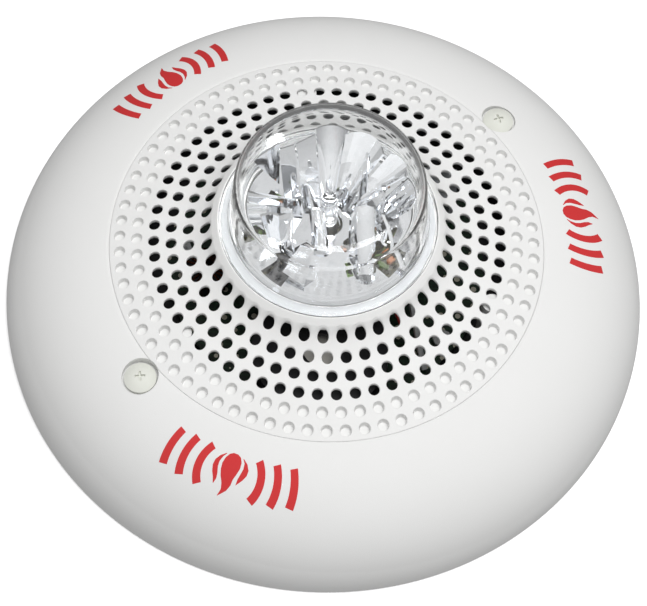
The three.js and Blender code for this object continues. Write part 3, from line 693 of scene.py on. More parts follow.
# %% Screw places and the recesses
screw_boxes = [corners(f"captive_screw_{i}") for i in (1, 2)]
screw_places = [((low + high) / 2).to_2d() for low, high in screw_boxes]
RECESS_FLOOR = EDGE_Z - 3.0
for place in screw_places:
    post = turned(
        [(0, RECESS_FLOOR - 0.2), (4.4, RECESS_FLOOR - 0.2), (4.4, 14.9), (0, 14.9)], 48, *place,
    )
    dome_mesh = boolean_cut(dome_mesh, mesh_of("post", post), "UNION")
    well = [(0, RECESS_FLOOR), (RECESS_R - 0.12, RECESS_FLOOR), (RECESS_R, RECESS_FLOOR + 0.12)]
    well += [(RECESS_R, 40.0), (0, 40.0)]
    dome_mesh = boolean_cut(dome_mesh, mesh_of("well", turned(well, 72, *place)))
    bore = [(0, 10.0), (2.3, 10.0), (2.3, 40.0), (0, 40.0)]
    dome_mesh = boolean_cut(dome_mesh, mesh_of("bore", turned(bore, 32, *place)))
dome_mesh.name = "dome"
finished_piece(dome_mesh, white_shell, "head", ["front_bezel"])

# %% [markdown]
# ## The grille
#
# The grille is six rings of round holes. The four inner rings go right through and the two
# outer ones are blind dimples. Cutting 342 holes with booleans would be slow and would leave
# long thin faces. Instead each ring has one cell: a patch of the panel with its hole, its
# walls and its underside. A geometry node tree copies a cell round the axis, and the cells
# meet corner to corner, so the welded panel is one closed shell. For that, two
# rings divide the circle between them into the same number of steps.

# %% The panel's height from the lip to the edge
PROFILE_KNOTS = [(29.9, 9.9), (31.5, 7.5), (36.0, 4.7), (40.5, 3.4), (45.0, 2.5), (49.5, 1.5)]
PROFILE_KNOTS += [(54.0, 0.6), (PANEL_R, 0.0)]


def knot_slope(i):
    before = PROFILE_KNOTS[max(i - 1, 0)]
    after = PROFILE_KNOTS[min(i + 1, len(PROFILE_KNOTS) - 1)]
    return (after[1] - before[1]) / (after[0] - before[0])


def panel_height(r):
    """Height of the panel's outside at a radius: a smooth curve through the knots."""
    i = 0
    while i < len(PROFILE_KNOTS) - 2 and r > PROFILE_KNOTS[i + 1][0]:
        i += 1
    (r0, z0), (r1, z1) = PROFILE_KNOTS[i], PROFILE_KNOTS[i + 1]
    width = r1 - r0
    t = (r - r0) / width
    first = z0 * (2 * t**3 - 3 * t**2 + 1) + knot_slope(i) * width * (t**3 - 2 * t**2 + t)
    second = z1 * (3 * t**2 - 2 * t**3) + knot_slope(i + 1) * width * (t**3 - t**2)
    return EDGE_Z + first + second


print("panel height at its first ring:", round(panel_height(31.5), 2))

# %% One cell of a ring
HOLE_R = 1.46
PANEL_T = 2.0
SIDE_STEPS = 4
DIMPLE_DEPTH = 1.75
HOLE_LAND = 0.75
RING_COUNTS = [42, 48, 54, 60, 66, 72]
RING_RADII = [31.5 + 4.5 * k for k in range(6)]
RING_EDGES = [29.95, 33.75, 38.25, 42.75, 47.25, 51.75, 56.2]
EDGE_DIVISIONS = [336, 336, 432, 540, 660, 792, 792]
OPEN_RINGS = 4


def cell_outline(k):
    """The cell's edge as (radius, turn) corners, on the divisions it shares with its neighbours."""
    def arc(edge):
        divisions = EDGE_DIVISIONS[edge]
        steps = divisions // RING_COUNTS[k]
        first = -(steps // 2)
        return [(RING_EDGES[edge], 2 * math.pi * (first + i) / divisions) for i in range(steps + 1)]

    inner, outer = arc(k), arc(k + 1)

    def side(a, b):
        return [
            (
                a[0] + (b[0] - a[0]) * i / SIDE_STEPS, a[1] + (b[1] - a[1]) * i / SIDE_STEPS,
            ) for i in range(1, SIDE_STEPS)
        ]

    return inner + side(inner[-1], outer[-1]) + outer[::-1] + side(outer[0], inner[0])


def hole_loop(k, outline, r, drop):
    """Corners on a circle round the hole, one for each corner of the cell's edge."""
    loop = []
    for edge_r, edge_turn in outline:
        x = edge_r * math.cos(edge_turn) - RING_RADII[k]
        y = edge_r * math.sin(edge_turn)
        away = math.hypot(x, y)
        px, py = RING_RADII[k] + r * x / away, r * y / away
        loop.append((px, py, panel_height(math.hypot(px, py)) - drop))
    return loop


def ring_cell(k):
    outline = cell_outline(k)
    top = [(r * math.cos(a), r * math.sin(a), panel_height(r)) for r, a in outline]
    under = [(x, y, z - PANEL_T) for x, y, z in top]
    loops = [top, hole_loop(k, outline, HOLE_R + 0.42, 0), hole_loop(k, outline, HOLE_R + 0.12, 0)]
    loops.append(hole_loop(k, outline, HOLE_R, 0.12))
    if k < OPEN_RINGS:
        loops.append(hole_loop(k, outline, HOLE_R - 0.04, HOLE_LAND))
        loops.append(hole_loop(k, outline, HOLE_R + 0.38, HOLE_LAND + 0.3))
        loops.append(hole_loop(k, outline, HOLE_R + 0.42, PANEL_T))
        return bridged(loops + [under])
    loops.append(hole_loop(k, outline, HOLE_R - 0.14, DIMPLE_DEPTH - 0.08))
    loops.append(hole_loop(k, outline, HOLE_R - 0.24, DIMPLE_DEPTH))
    points, faces = bridged(loops)
    add_fan(points, faces, len(points) - len(top), len(top))
    start = len(points)
    points += under
    add_fan(points, faces, start, len(top))
    return points, faces


def bridged(loops):
    """Faces between loops that have the same number of corners."""
    count = len(loops[0])
    points = [p for loop in loops for p in loop]
    faces = []
    for row in range(len(loops) - 1):
        for i in range(count):
            j = (i + 1) % count
            a, b = row * count, (row + 1) * count
            faces.append([a + i, a + j, b + j, b + i])
    return points, faces


def add_fan(points, faces, start, count):
    """Closes a loop with triangles to its middle."""
    loop = points[start : start + count]
    points.append(tuple(sum(p[axis] for p in loop) / count for axis in range(3)))
    for i in range(count):
        faces.append([start + i, start + (i + 1) % count, len(points) - 1])


print("corners round a cell of each ring:", [len(cell_outline(k)) for k in range(6)])

# %% [markdown]
# The node tree below is the copier. It puts as many points as there are cells on the axis,
# turns each one by its share of a full turn, stands a copy of the incoming cell on every
# point, makes the copies real and welds their shared corners.

# %% Geometry nodes: copies round an axis
def ring_array_tree():
    tree = bpy.data.node_groups.new("ring_array", "GeometryNodeTree")
    for label, kind in [
        ("Cell", "Geometry"), ("Count", "Int"), ("Phase", "Float"), ("Weld", "Float"),
        ("Finish", "Material"),
    ]:
        tree.interface.new_socket(label, in_out="INPUT", socket_type=f"NodeSocket{kind}")
    tree.interface.new_socket("Ring", in_out="OUTPUT", socket_type="NodeSocketGeometry")
    given = tree.nodes.new("NodeGroupInput").outputs
    out = tree.nodes.new("NodeGroupOutput")
    points = add_node(tree, "GeometryNodePoints", {"Count": given["Count"]})
    index = add_node(tree, "GeometryNodeInputIndex").outputs[0]
    step = math_node(tree, "DIVIDE", 2 * math.pi, given["Count"])
    turn = math_node(tree, "ADD", math_node(tree, "MULTIPLY", index, step), given["Phase"])
    spin = add_node(tree, "ShaderNodeCombineXYZ", {"Z": turn}).outputs[0]
    copies = add_node(
        tree, "GeometryNodeInstanceOnPoints",
        {"Points": points.outputs[0], "Instance": given["Cell"], "Rotation": spin},
    )
    real = add_node(tree, "GeometryNodeRealizeInstances", {"Geometry": copies.outputs[0]})
    weld = add_node(
        tree, "GeometryNodeMergeByDistance",
        {"Geometry": real.outputs[0], "Distance": given["Weld"]},
    )
    paint = add_node(
        tree, "GeometryNodeSetMaterial",
        {"Geometry": weld.outputs[0], "Material": given["Finish"]},
    )
    tree.links.new(paint.outputs[0], out.inputs["Ring"])
    return tree


RING_ARRAY = ring_array_tree()


def grown(tree, mesh, values):
    """The mesh that a geometry node tree makes from another one."""
    holder = bpy.data.objects.new("growing", mesh)
    bpy.context.scene.collection.objects.link(holder)
    modifier = holder.modifiers.new("grow", "NODES")
    modifier.node_group = tree
    sockets = {
        item.name: item.identifier for item in tree.interface.items_tree if item.in_out == "INPUT"
    }
    for label, value in values.items():
        modifier[sockets[label]] = value
    shapes = bpy.context.evaluated_depsgraph_get()
    result = bpy.data.meshes.new_from_object(holder.evaluated_get(shapes))
    holder.modifiers.clear()
    bpy.data.objects.remove(holder)
    return result


def copied_round(name, mesh, count, phase, finish):
    values = {"Count": count, "Phase": phase, "Weld": 0.002 * MM, "Finish": finish}
    result = grown(RING_ARRAY, mesh, values)
    result.name = name
    return result


print(
    "geometry node inputs:",
    [i.name for i in RING_ARRAY.interface.items_tree if i.in_out == "INPUT"],
)

# %% The perforated rings
RING_PHASE = math.radians(47.9)


def corners_and_faces(mesh):
    """A mesh's corners in millimetres and its faces, to join it with others."""
    return [tuple(v.co / MM) for v in mesh.vertices], [list(p.vertices) for p in mesh.polygons]


rings = []
for k, count in enumerate(RING_COUNTS):
    cell = mesh_of("cell", ring_cell(k))
    rings.append(corners_and_faces(copied_round("ring", cell, count, RING_PHASE, white_shell)))
print("holes:", sum(RING_COUNTS), "faces in the rings:", sum(len(faces) for _, faces in rings))

# %% [markdown]
# Inside the first ring the panel rises to a lip that surrounds the lens and turns down to the
# gasket's seat. Outside the last ring it ends in a small rounded edge, which is pulled in
# beside the screw recesses so that a screwdriver has room. Both are strips of faces whose
# corners lie on the rings' own corners.

# %% Lip, edge and bosses
def polar_strip(profile_at, divisions, phase):
    """Faces between the points of an open profile that may change from angle to angle."""
    points, faces = [], []
    for i in range(divisions):
        turn = phase + 2 * math.pi * i / divisions
        column = profile_at(turn)
        width = len(column)
        points += [(r * math.cos(turn), r * math.sin(turn), z) for r, z in column]
    for i in range(divisions):
        a, b = i * width, ((i + 1) % divisions) * width
        for j in range(width - 1):
            faces.append([a + j, a + j + 1, b + j + 1, b + j])
    return points, faces


SEAT_Z = EDGE_Z + 8.7
SEAT_BORE_R = 23.5
LIP_R = corners("lens")[1].x + 0.06


def lip_profile(_turn):
    outside = panel_height(RING_EDGES[0])
    crest = [
        (29.7, EDGE_Z + 10.0), (29.3, LIP_TOP - 0.2), (28.9, LIP_TOP + 0.15),
        (28.6, LIP_TOP + 0.42),
    ]
    inside = [
        (LIP_R + 0.3, LIP_TOP + 0.62), (LIP_R + 0.08, LIP_TOP + 0.6), (LIP_R, LIP_TOP + 0.5),
        (LIP_R, SEAT_Z),
    ]
    seat = [(SEAT_BORE_R, SEAT_Z), (SEAT_BORE_R, SEAT_Z - PANEL_T), (LIP_R, SEAT_Z - PANEL_T)]
    return [(RING_EDGES[0], outside), *crest, *inside, *seat, (RING_EDGES[0], outside - PANEL_T)]


def edge_limit(turn):
    """Radius of the panel's edge at an angle, less beside a screw recess."""
    limit = PANEL_R
    for place in screw_places:
        between = math.atan2(place.y, place.x) - turn
        sideways = place.length * math.sin(between)
        if abs(sideways) < RECESS_R and math.cos(between) > 0:
            chord = math.sqrt(RECESS_R**2 - sideways**2)
            limit = min(limit, place.length * math.cos(between) - chord)
    return limit


def edge_profile(turn):
    start = RING_EDGES[-1]
    limit = max(edge_limit(turn), start + 0.06)
    inset = min(0.18, (limit - start) * 0.5)
    top = panel_height(start)
    rim = panel_height(limit - inset)
    column = [
        (start, top), (limit - inset, rim), (limit - 0.3 * inset, rim - 0.06), (limit, rim - 0.2),
    ]
    return column + [(limit, EDGE_Z - PANEL_T), (start, top - PANEL_T)]


lip = polar_strip(lip_profile, EDGE_DIVISIONS[0], RING_PHASE)
edge = polar_strip(edge_profile, EDGE_DIVISIONS[-1], RING_PHASE)
GRILLE_BOSS_AT = 46.0
bosses = []
for degrees in (100, 220, 340):
    turn = math.radians(degrees)
    x, y = GRILLE_BOSS_AT * math.cos(turn), GRILLE_BOSS_AT * math.sin(turn)
    bosses.append(
        turned(
            [
                (0, EDGE_Z + 1.0), (2.6, EDGE_Z + 0.6), (2.8, 12.6), (1.4, 12.5), (1.4, 22.0),
                (0, 22.0),
            ],
            24, x, y,
        ),
    )
grille_mesh = mesh_of("grille", lip, edge, *rings)
finished_piece(grille_mesh, white_shell, "head", ["grille_panel"])
finished_piece(mesh_of("grille_bosses", *bosses), white_shell, "head")

# %% [markdown]
# ## The lens
#
# The lens is a clear cup with a flange. Its wall leans in by a few degrees, so that it leaves
# the mould, and turns over in a round shoulder into a slightly domed top. The profile has an
# outer and an inner side, because clear plastic only looks right with a real thickness.

# %% The lens
LENS_FLANGE_R = lens_high.x
LENS_SEGMENTS = 160


def lens_profile():
    base, top = lens_low.z, lens_high.z
    wall, top_r, shoulder, crown = 1.3, 24.0, 5.6, 0.9
    flange_top, draft_deg, foot_fillet = base + 1.6, 6.4, 1.3
    draft = math.radians(draft_deg)
    spring_r, spring_z = top_r - shoulder, top - crown - shoulder

    def on_shoulder(radius, turn):
        return spring_r + radius * math.cos(turn), spring_z + radius * math.sin(turn)

    def on_wall(radius, z):
        r0, z0 = on_shoulder(radius, draft)
        return r0 + (z0 - z) * math.tan(draft), z

    outside = [
        (LENS_FLANGE_R - 0.2, base), (LENS_FLANGE_R, base + 0.2),
        (LENS_FLANGE_R, flange_top - 0.08),
    ]
    outside += [(LENS_FLANGE_R - 0.08, flange_top)]
    foot_r = on_wall(shoulder, flange_top + foot_fillet)[0]
    for i in range(6):
        turn = math.radians(270 - (90 - draft_deg) * i / 5)
        x, z = foot_fillet * math.cos(turn), foot_fillet * math.sin(turn)
        outside.append((foot_r + foot_fillet + x, flange_top + foot_fillet + z))
    outside += [on_wall(shoulder, flange_top + foot_fillet + rise) for rise in (1, 3, 6, 9, 12)]
    inside = [
        on_wall(shoulder - wall, flange_top + foot_fillet + rise) for rise in (1, 3, 6, 9, 12)
    ]
    for i in range(15):
        turn = draft + (math.pi / 2 - draft) * i / 14
        outside.append(on_shoulder(shoulder, turn))
        inside.append(on_shoulder(shoulder - wall, turn))
    for i in range(1, 7):
        reach = 1 - i / 6
        outside.append((spring_r * reach, top - crown * reach**2))
        inside.append((spring_r * reach, top - wall - crown * reach**2))
    foot_in = on_wall(shoulder - wall, base + 0.1)[0]
    return outside + inside[::-1] + [(foot_in, base + 0.1), (foot_in + 0.1, base)]


lens = finished_piece(
    mesh_of("lens_cup", turned(lens_profile(), LENS_SEGMENTS)), lens_clear,
    "head", ["lens"], 40,
)
lens.visible_shadow = False

# %% [markdown]
# ## The captive screws
#
# The two screws that hold the dome have low domed heads with a cross recess. A cross can be
# cut with a boolean, as here, because a head is small and the cutter is two crossed bars.
# Their size comes from the frame's screws.

# %% The captive screws
CROSS_REACH = 1.9
CROSS_WIDTH = 0.85
CROSS_TURNS = [0.35, 0.15]


def crossed_bars(x, y, z, turn):
    bars = []
    for quarter in (0.0, math.pi / 2):
        c, s = math.cos(turn + quarter), math.sin(turn + quarter)
        points = []
        for height, shrink in ((z - 0.75, 0.6), (z + 2.0, 1.0)):
            for u, v in ((-1, -1), (1, -1), (1, 1), (-1, 1)):
                a, b = u * CROSS_REACH * shrink, v * CROSS_WIDTH / 2 * shrink
                points.append((x + a * c - b * s, y + a * s + b * c, height))
        sides = [[i, (i + 1) % 4, 4 + (i + 1) % 4, 4 + i] for i in range(4)]
        bars.append((points, [[3, 2, 1, 0], [4, 5, 6, 7], *sides]))
    return bars


for i, (low, high) in enumerate(screw_boxes):
    x, y = screw_places[i]
    head_r = (high.x - low.x) / 2
    head_base = high.z - 2.2
    shank = [(0, low.z), (1.1, low.z), (1.9, low.z + 1.0), (1.9, head_base)]
    head = [(head_r - 0.15, head_base), (head_r, head_base + 0.15), (head_r, head_base + 0.8)]
    for j in range(9):
        t = j / 8
        head.append(
            (
                head_r * (1 - t) * (1 - 0.04 * t) - 0.06 * (t < 1) * (t > 0),
                high.z - 1.28 * (1 - t) ** 2.4,
            ),
        )
    screw = mesh_of(f"dome_screw_{i + 1}", turned(shank + head, 64, x, y))
    for tool in crossed_bars(x, y, high.z - 0.1, CROSS_TURNS[i]):
        screw = boolean_cut(screw, mesh_of("cross", tool))
    screw.name = f"dome_screw_{i + 1}"
    finished_piece(
        screw, screw_cream, f"captive_screw_{i + 1}", [f"captive_screw_{i + 1}"],
    )

# %% [markdown]
# ## The reflector
#
# Round the flash tube stands a plated moulding: thin curved petals that lean outwards behind
# the tube, scoops and blades in front of it. Each blade is a curved sheet with a thickness,
# so one helper turns a rule for the points of a sheet into a closed shell. A subdivided box
# could be pushed into each shape by hand, but the rules keep the edges sharp and the curves
# true, which is what mirrors need.

# %% A curved sheet with a thickness
def curved_sheet(rule, columns, rows, thickness):
    """Closed shell round the surface rule(u, v), with u and v from 0 to 1."""
    front, back = [], []
    step = 1e-3
    for j in range(rows + 1):
        for i in range(columns + 1):
            u, v = i / columns, j / rows
            here = Vector(rule(u, v))
            across = Vector(rule(min(u + step, 1), v)) - Vector(rule(max(u - step, 0), v))
            along = Vector(rule(u, min(v + step, 1))) - Vector(rule(u, max(v - step, 0)))
            normal = across.cross(along).normalized()
            front.append(tuple(here))
            back.append(tuple(here - normal * thickness))
    width, count = columns + 1, len(front)
    faces = []
    for j in range(rows):
        for i in range(columns):
            a = j * width + i
            faces.append([a, a + 1, a + width + 1, a + width])
            faces.append([count + a + width, count + a + width + 1, count + a + 1, count + a])
    border = [i for i in range(width)]
    border += [j * width + columns for j in range(1, rows + 1)]
    border += [rows * width + i for i in range(columns - 1, -1, -1)]
    border += [j * width for j in range(rows - 1, 0, -1)]
    for a, b in zip(border, border[1:] + border[:1]):
        faces.append([a, count + a, count + b, b])
    return front + back, faces


def slab(outline, thickness):
    """Closed flat plate from the corners of its front face, in turning order."""
    front = [Vector(p) for p in outline]
    normal = (front[1] - front[0]).cross(front[2] - front[0]).normalized()
    back = [p - normal * thickness for p in front]
    count = len(front)
    sides = [[i, (i + 1) % count, count + (i + 1) % count, count + i] for i in range(count)]
    faces = [list(range(count)), list(range(2 * count - 1, count - 1, -1)), *sides]
    return [tuple(p) for p in front + back], faces


MIRROR_BASE = SEAT_Z
BASE_UNDER = SEAT_Z - 1.6
print("reflector base from", round(BASE_UNDER, 2), "to", round(MIRROR_BASE, 2))

# %% [markdown]
# The reflector is a star of arms that slope down from the tube. A narrow trough climbs
# towards the back and three cups stand beside it at the right. Two tongues point to the
# front, with a half drum on either side of them, and flat facets stand at the left.

# %% Trough, cups, drums and tongues
def trough(top, foot, top_half, foot_half, hollow):
    """A narrow hollow panel from the foot at the tube up to the top."""
    def rule(u, v):
        side = 2 * u - 1
        at = Vector(foot).lerp(Vector(top), v)
        half = foot_half + (top_half - foot_half) * v
        rise = 0.6 * math.sin(math.pi * v)
        return at.x + side * half, at.y + hollow * (1 - side * side), at.z - rise
    return curved_sheet(rule, 10, 12, 0.7)


def cup(degrees, half_width, inner_r, outer_r, low, high, hollow, flare=1.6, tip=0.0):
    """A hollow petal that stands behind the tube and leans outwards."""
    def rule(u, v):
        side = 2 * u - 1
        turn = math.radians(degrees + side * half_width)
        r = inner_r + (outer_r - inner_r) * v**flare + hollow * (1 - side * side) * (0.3 + 0.7 * v)
        z = MIRROR_BASE + low + (high - low) * v * (1 - tip * side * side)
        return r * math.cos(turn), r * math.sin(turn), z
    return curved_sheet(rule, 6, 3, 0.7)


def drum(degrees, centre_r, radius, low, high, opening, lean):
    """An upright half round wall, open away from the tube."""
    def rule(u, v):
        facing = math.radians(degrees)
        turn = facing + math.pi + math.radians(opening) * (u - 0.5)
        grow = radius * (0.7 + 0.3 * v)
        reach = centre_r + lean * v
        x = reach * math.cos(facing) + grow * math.cos(turn)
        y = reach * math.sin(facing) + grow * math.sin(turn)
        return x, y, MIRROR_BASE + low + (high - low) * v
    return curved_sheet(rule, 18, 8, 0.7)


def tongue(top, foot, top_half, foot_half, bulge):
    """A rounded ridge that slopes from the tube down to the front."""
    def rule(u, v):
        side = 2 * u - 1
        at = Vector(top).lerp(Vector(foot), v)
        half = top_half + (foot_half - top_half) * v**3
        return at.x + side * half, at.y, at.z + bulge * math.sqrt(max(0.0, 1 - side * side))
    return curved_sheet(rule, 14, 10, 0.7)


mirror_parts = [
    trough((-0.5, 18.2, 51.0), (0.0, 3.2, 36.6), 4.0, 1.6, 1.4),
    cup(62, 19, 5.5, 17.8, 0.5, 14.6, 2.4),
    cup(31, 12, 6.5, 20.0, 0.5, 13.2, 1.6),
    cup(8, 13, 12.5, 20.8, 0.3, 12.2, 1.5, flare=1.2),
    drum(212, 16.5, 5.0, 0.0, 10.5, 185, 0.4),
    drum(338, 17.8, 3.6, 0.0, 6.5, 170, 0.3),
    tongue((8.8, -2.6, 49.0), (10.2, -14.4, 36.8), 2.1, 1.5, 1.2),
    tongue((-3.2, -2.2, 46.0), (-1.4, -8.6, 36.6), 1.2, 1.5, 0.8),
]
print("curved mirrors:", len(mirror_parts))

# %% Plates, ribs and facets
mirror_parts += [
    slab([(-20.2, 10.4, 47.0), (-13.7, 14.4, 50.0), (-13.4, 10.2, 37.0)], 0.6),
    slab([(-9.4, 14.2, 50.0), (-4.9, 16.9, 50.6), (-2.4, 4.0, 36.6), (-6.6, 3.4, 36.6)], 0.7),
    slab([(-13.4, 13.4, 48.5), (-9.7, 14.0, 50.0), (-7.6, 4.4, 36.6), (-11.6, 6.4, 36.6)], 0.7),
    slab([(-9.6, 5.4, 50.5), (-8.9, 5.0, 50.5), (-6.4, 2.2, 36.5), (-8.8, 2.4, 36.5)], 1.0),
    slab([(8.6, 12.6, 50.5), (9.4, 12.2, 50.5), (9.6, 3.0, 36.5), (7.2, 3.0, 36.5)], 1.0),
    slab([(-21.0, 2.6, 45.0), (-8.0, 0.4, 46.0), (-8.0, -0.6, 43.5), (-21.0, 1.6, 42.5)], 0.8),
    slab([(-21.4, 0.2, 43.5), (-12.0, -1.6, 45.5), (-12.0, -4.4, 36.0), (-21.4, -3.0, 36.0)], 0.5),
    slab([(-12.6, -5.4, 48.0), (-9.7, -4.2, 48.0), (-9.0, -10.9, 36.2), (-11.6, -9.9, 36.2)], 1.0),
    slab([(-9.2, -4.6, 47.0), (-8.8, -4.6, 47.0), (-8.0, -11.8, 36.2), (-8.5, -11.8, 36.2)], 0.4),
    slab(
        [(-6.4, -11.2, 44.0), (-2.9, -11.8, 44.0), (-4.9, -17.9, 36.4), (-10.4, -14.6, 37.4)], 1.0,
    ),
    slab([(13.2, -2.4, 46.5), (14.0, -2.6, 46.5), (19.6, -11.0, 37.2), (18.6, -11.6, 37.2)], 0.8),
    slab([(12.9, 4.4, 48.5), (13.7, 4.4, 48.5), (14.4, -0.4, 36.4), (13.4, -0.4, 36.4)], 0.8),
    slab([(5.2, -5.5, 47.5), (6.4, -3.0, 48.5), (6.6, -9.8, 36.2), (5.4, -9.8, 36.2)], 0.6),
]
finished_piece(
    mesh_of("mirror_blades", *mirror_parts), mirror_plating, "head",
    ["reflector"], 8,
)

# %% [markdown]
# The arms stand on a plated disc. It has windows between the arms, and through them the
# board and its small parts show dark. The windows are sectors, cut with booleans.

# %% The base and its windows
# Each window: inner radius, outer radius, first and last angle in degrees.
WINDOWS = [(15.0, 21.5, 184, 198), (12.5, 17.5, 150, 162), (7.0, 13.5, 224, 248)]
WINDOWS += [
    (15.5, 21.3, 222, 240), (10.5, 21.0, 318, 342), (6.6, 9.4, 300, 322), (13.7, 15.7, 291, 297),
]


def sector_block(r0, r1, first_deg, last_deg, low, high, steps=12):
    arc = [math.radians(first_deg + (last_deg - first_deg) * i / steps) for i in range(steps + 1)]
    outline = [(r1 * math.cos(a), r1 * math.sin(a)) for a in arc]
    outline += [(r0 * math.cos(a), r0 * math.sin(a)) for a in reversed(arc)]
    return straight_prism(outline, low, high)


BASE_R = 22.9
BASE_HOLE_R = 3.6
base_profile = [(BASE_HOLE_R, BASE_UNDER), (BASE_R - 0.2, BASE_UNDER), (BASE_R, BASE_UNDER + 0.2)]
base_profile += [
    (BASE_R, MIRROR_BASE - 0.2), (BASE_R - 0.2, MIRROR_BASE), (3.8, MIRROR_BASE),
    (BASE_HOLE_R, MIRROR_BASE - 0.2),
]
base_mesh = mesh_of("reflector_base", turned(base_profile, 96))
for window in WINDOWS:
    tool = sector_block(*window, BASE_UNDER - 1, MIRROR_BASE + 1)
    base_mesh = boolean_cut(base_mesh, mesh_of("window", tool))
base_mesh.name = "reflector_base"
finished_piece(base_mesh, mirror_plating, "head")

# %% [markdown]
# Under the windows lie small parts of the board: black chips, amber beads and green beads.
# Each is a small block with its edges taken off, turned to its own angle.

# %% Small parts under the windows
PART_FOOT_Z = corners("strobe_board")[1].z + 0.02


def small_block(r, turn_deg, length, width, height, spin_deg=0):
    """A block on the board, with its edges taken off."""
    turn, spin = math.radians(turn_deg), math.radians(turn_deg + spin_deg)
    loops = []
    for inset, z in ((0.0, 0.0), (0.0, height - 0.25), (0.25, height)):
        a, b = length / 2 - inset, width / 2 - inset
        outline = [(a - 0.2, -b), (a, 0.2 - b), (a, b - 0.2), (a - 0.2, b)]
        outline += [(0.2 - a, b), (-a, b - 0.2), (-a, 0.2 - b), (0.2 - a, -b)]
        loop = []
        for u, v in outline:
            x = r * math.cos(turn) + u * math.cos(spin) - v * math.sin(spin)
            y = r * math.sin(turn) + u * math.sin(spin) + v * math.cos(spin)
            loop.append((x, y, PART_FOOT_Z + z))
        loops.append(loop)
    points = [p for loop in loops for p in loop]
    faces = [list(range(7, -1, -1)), list(range(16, 24))]
    for row in (0, 8):
        faces += [
            [row + i, row + (i + 1) % 8, row + 8 + (i + 1) % 8, row + 8 + i] for i in range(8)
        ]
    return points, faces


chips = [small_block(10.2, 236, 5.4, 4.2, 2.2), small_block(18.4, 231, 5.0, 4.6, 1.8)]
chips += [small_block(13.2, 325, 3.6, 3.6, 2.0, 20), small_block(20.2, 195, 1.4, 1.0, 1.2)]
amber = [small_block(14.2, 159, 1.8, 1.2, 1.6, 30), small_block(18.2, 334, 2.2, 1.0, 1.4, 70)]
amber += [small_block(7.6, 306, 1.2, 1.0, 1.8, 10)]
green = [small_block(15.8, 154, 2.4, 1.6, 1.8, 20), small_block(18.6, 191, 3.2, 1.4, 1.4, 60)]
green += [small_block(14.7, 294, 1.8, 1.3, 1.5, 40), small_block(17.4, 327, 2.6, 1.2, 1.2, 15)]
finished_piece(mesh_of("board_chips", *chips), black_moulding, "head")
finished_piece(mesh_of("board_amber_beads", *amber), amber_bead, "head")
finished_piece(mesh_of("board_green_beads", *green), leaf_green, "head")

# %% [markdown]
# ## The flash tube
#
# The tube is a small glass cylinder with a drawn end. Inside it are two electrodes, and
# outside a thin trigger wire is wound round it. A winding follows a rule, so its line is
# listed point by point and a round wire is laid along it.

# %% A wire along a line
def wire_along(points, radius, sides=8):
    """Closed round wire through the given points."""
    points = [Vector(p) for p in points]
    rings, corners_out = [], []
    side = Vector((0.31, 0.17, 0.93))
    for i, point in enumerate(points):
        ahead = points[min(i + 1, len(points) - 1)] - points[max(i - 1, 0)]
        ahead.normalize()
        side = (side - ahead * side.dot(ahead)).normalized()
        other = ahead.cross(side)
        rings.append(range(len(corners_out), len(corners_out) + sides))
        for j in range(sides):
            turn = 2 * math.pi * j / sides
            corners_out.append(
                tuple(point + radius * (math.cos(turn) * side + math.sin(turn) * other)),
            )
    faces = [list(rings[0])[::-1], list(rings[-1])]
    for a, b in zip(rings, rings[1:]):
        faces += [[a[j], a[(j + 1) % sides], b[(j + 1) % sides], b[j]] for j in range(sides)]
    return corners_out, faces


tube_low, tube_high = corners("flash_tube")
_, top_cap_high = corners("tube_cap_upper")
TUBE_R = tube_high.x
glass = [(0, tube_low.z), (TUBE_R - 0.3, tube_low.z), (TUBE_R, tube_low.z + 0.3)]
glass += [
    (TUBE_R, tube_high.z - 1.6), (TUBE_R * 0.86, tube_high.z - 0.7),
    (TUBE_R * 0.5, tube_high.z - 0.15),
]
glass += [(0, tube_high.z)]
finished_piece(
    mesh_of("tube_glass", turned(glass, 40)), tube_clear, "head", ["flash_tube"], 60,
)

# %% Electrode and trigger wire
pin = [(0, tube_high.z + 0.1), (0.45, tube_high.z + 0.1), (0.55, tube_high.z + 0.4)]
pin += [(0.55, top_cap_high.z - 0.6), (0.3, top_cap_high.z - 0.3), (0, top_cap_high.z - 0.3)]
pin_mesh = mesh_of("tube_pin", turned(pin, 20))
finished_piece(pin_mesh, plated_steel, "head", ["tube_cap_upper"])

WINDING_R = TUBE_R + 0.2
WINDING_TURNS = 2
WINDING_STEPS = 24
WINDING_RISE = 9
winding = []
for i in range(WINDING_STEPS * WINDING_TURNS + 1):
    turn = 2 * math.pi * i / WINDING_STEPS
    height = tube_low.z + 1 + WINDING_RISE * i / (WINDING_STEPS * WINDING_TURNS)
    winding.append((WINDING_R * math.cos(turn), WINDING_R * math.sin(turn), height))
winding = [
    (WINDING_R + 0.9, -0.6, MIRROR_BASE + 0.3), (WINDING_R + 0.4, -0.3, tube_low.z + 0.3),
    *winding,
]
finished_piece(mesh_of("trigger_wire", wire_along(winding, 0.16, 6)), plated_steel, "head")

# %% [markdown]
# ## The printed marks
#
# Three red marks are printed on the dome, a third of a turn apart. Each is a flame between
# sound arcs, a sign that needs no words. A decal would need a picture and a UV map. A mark
# made of thin patches that follow the dome stays sharp at any distance, so each stroke is a
# small grid of corners laid on the dome's own formula, a few hundredths of a millimetre
# thick.

# %% Strokes laid on the dome
MARK_R = 68.3
MARK_RISE = 0.035
MARK_SINK = 0.05
MARK_ANGLES_DEG = [12.6, 132.6, 252.6]


def on_dome(u, v, centre_deg, lift):
    """A mark's point: u along the ring, clockwise, and v outwards, in mm from its middle."""
    r = MARK_R + v
    turn = math.radians(centre_deg) - u / MARK_R
    return r * math.cos(turn), r * math.sin(turn), dome_height(r) + lift


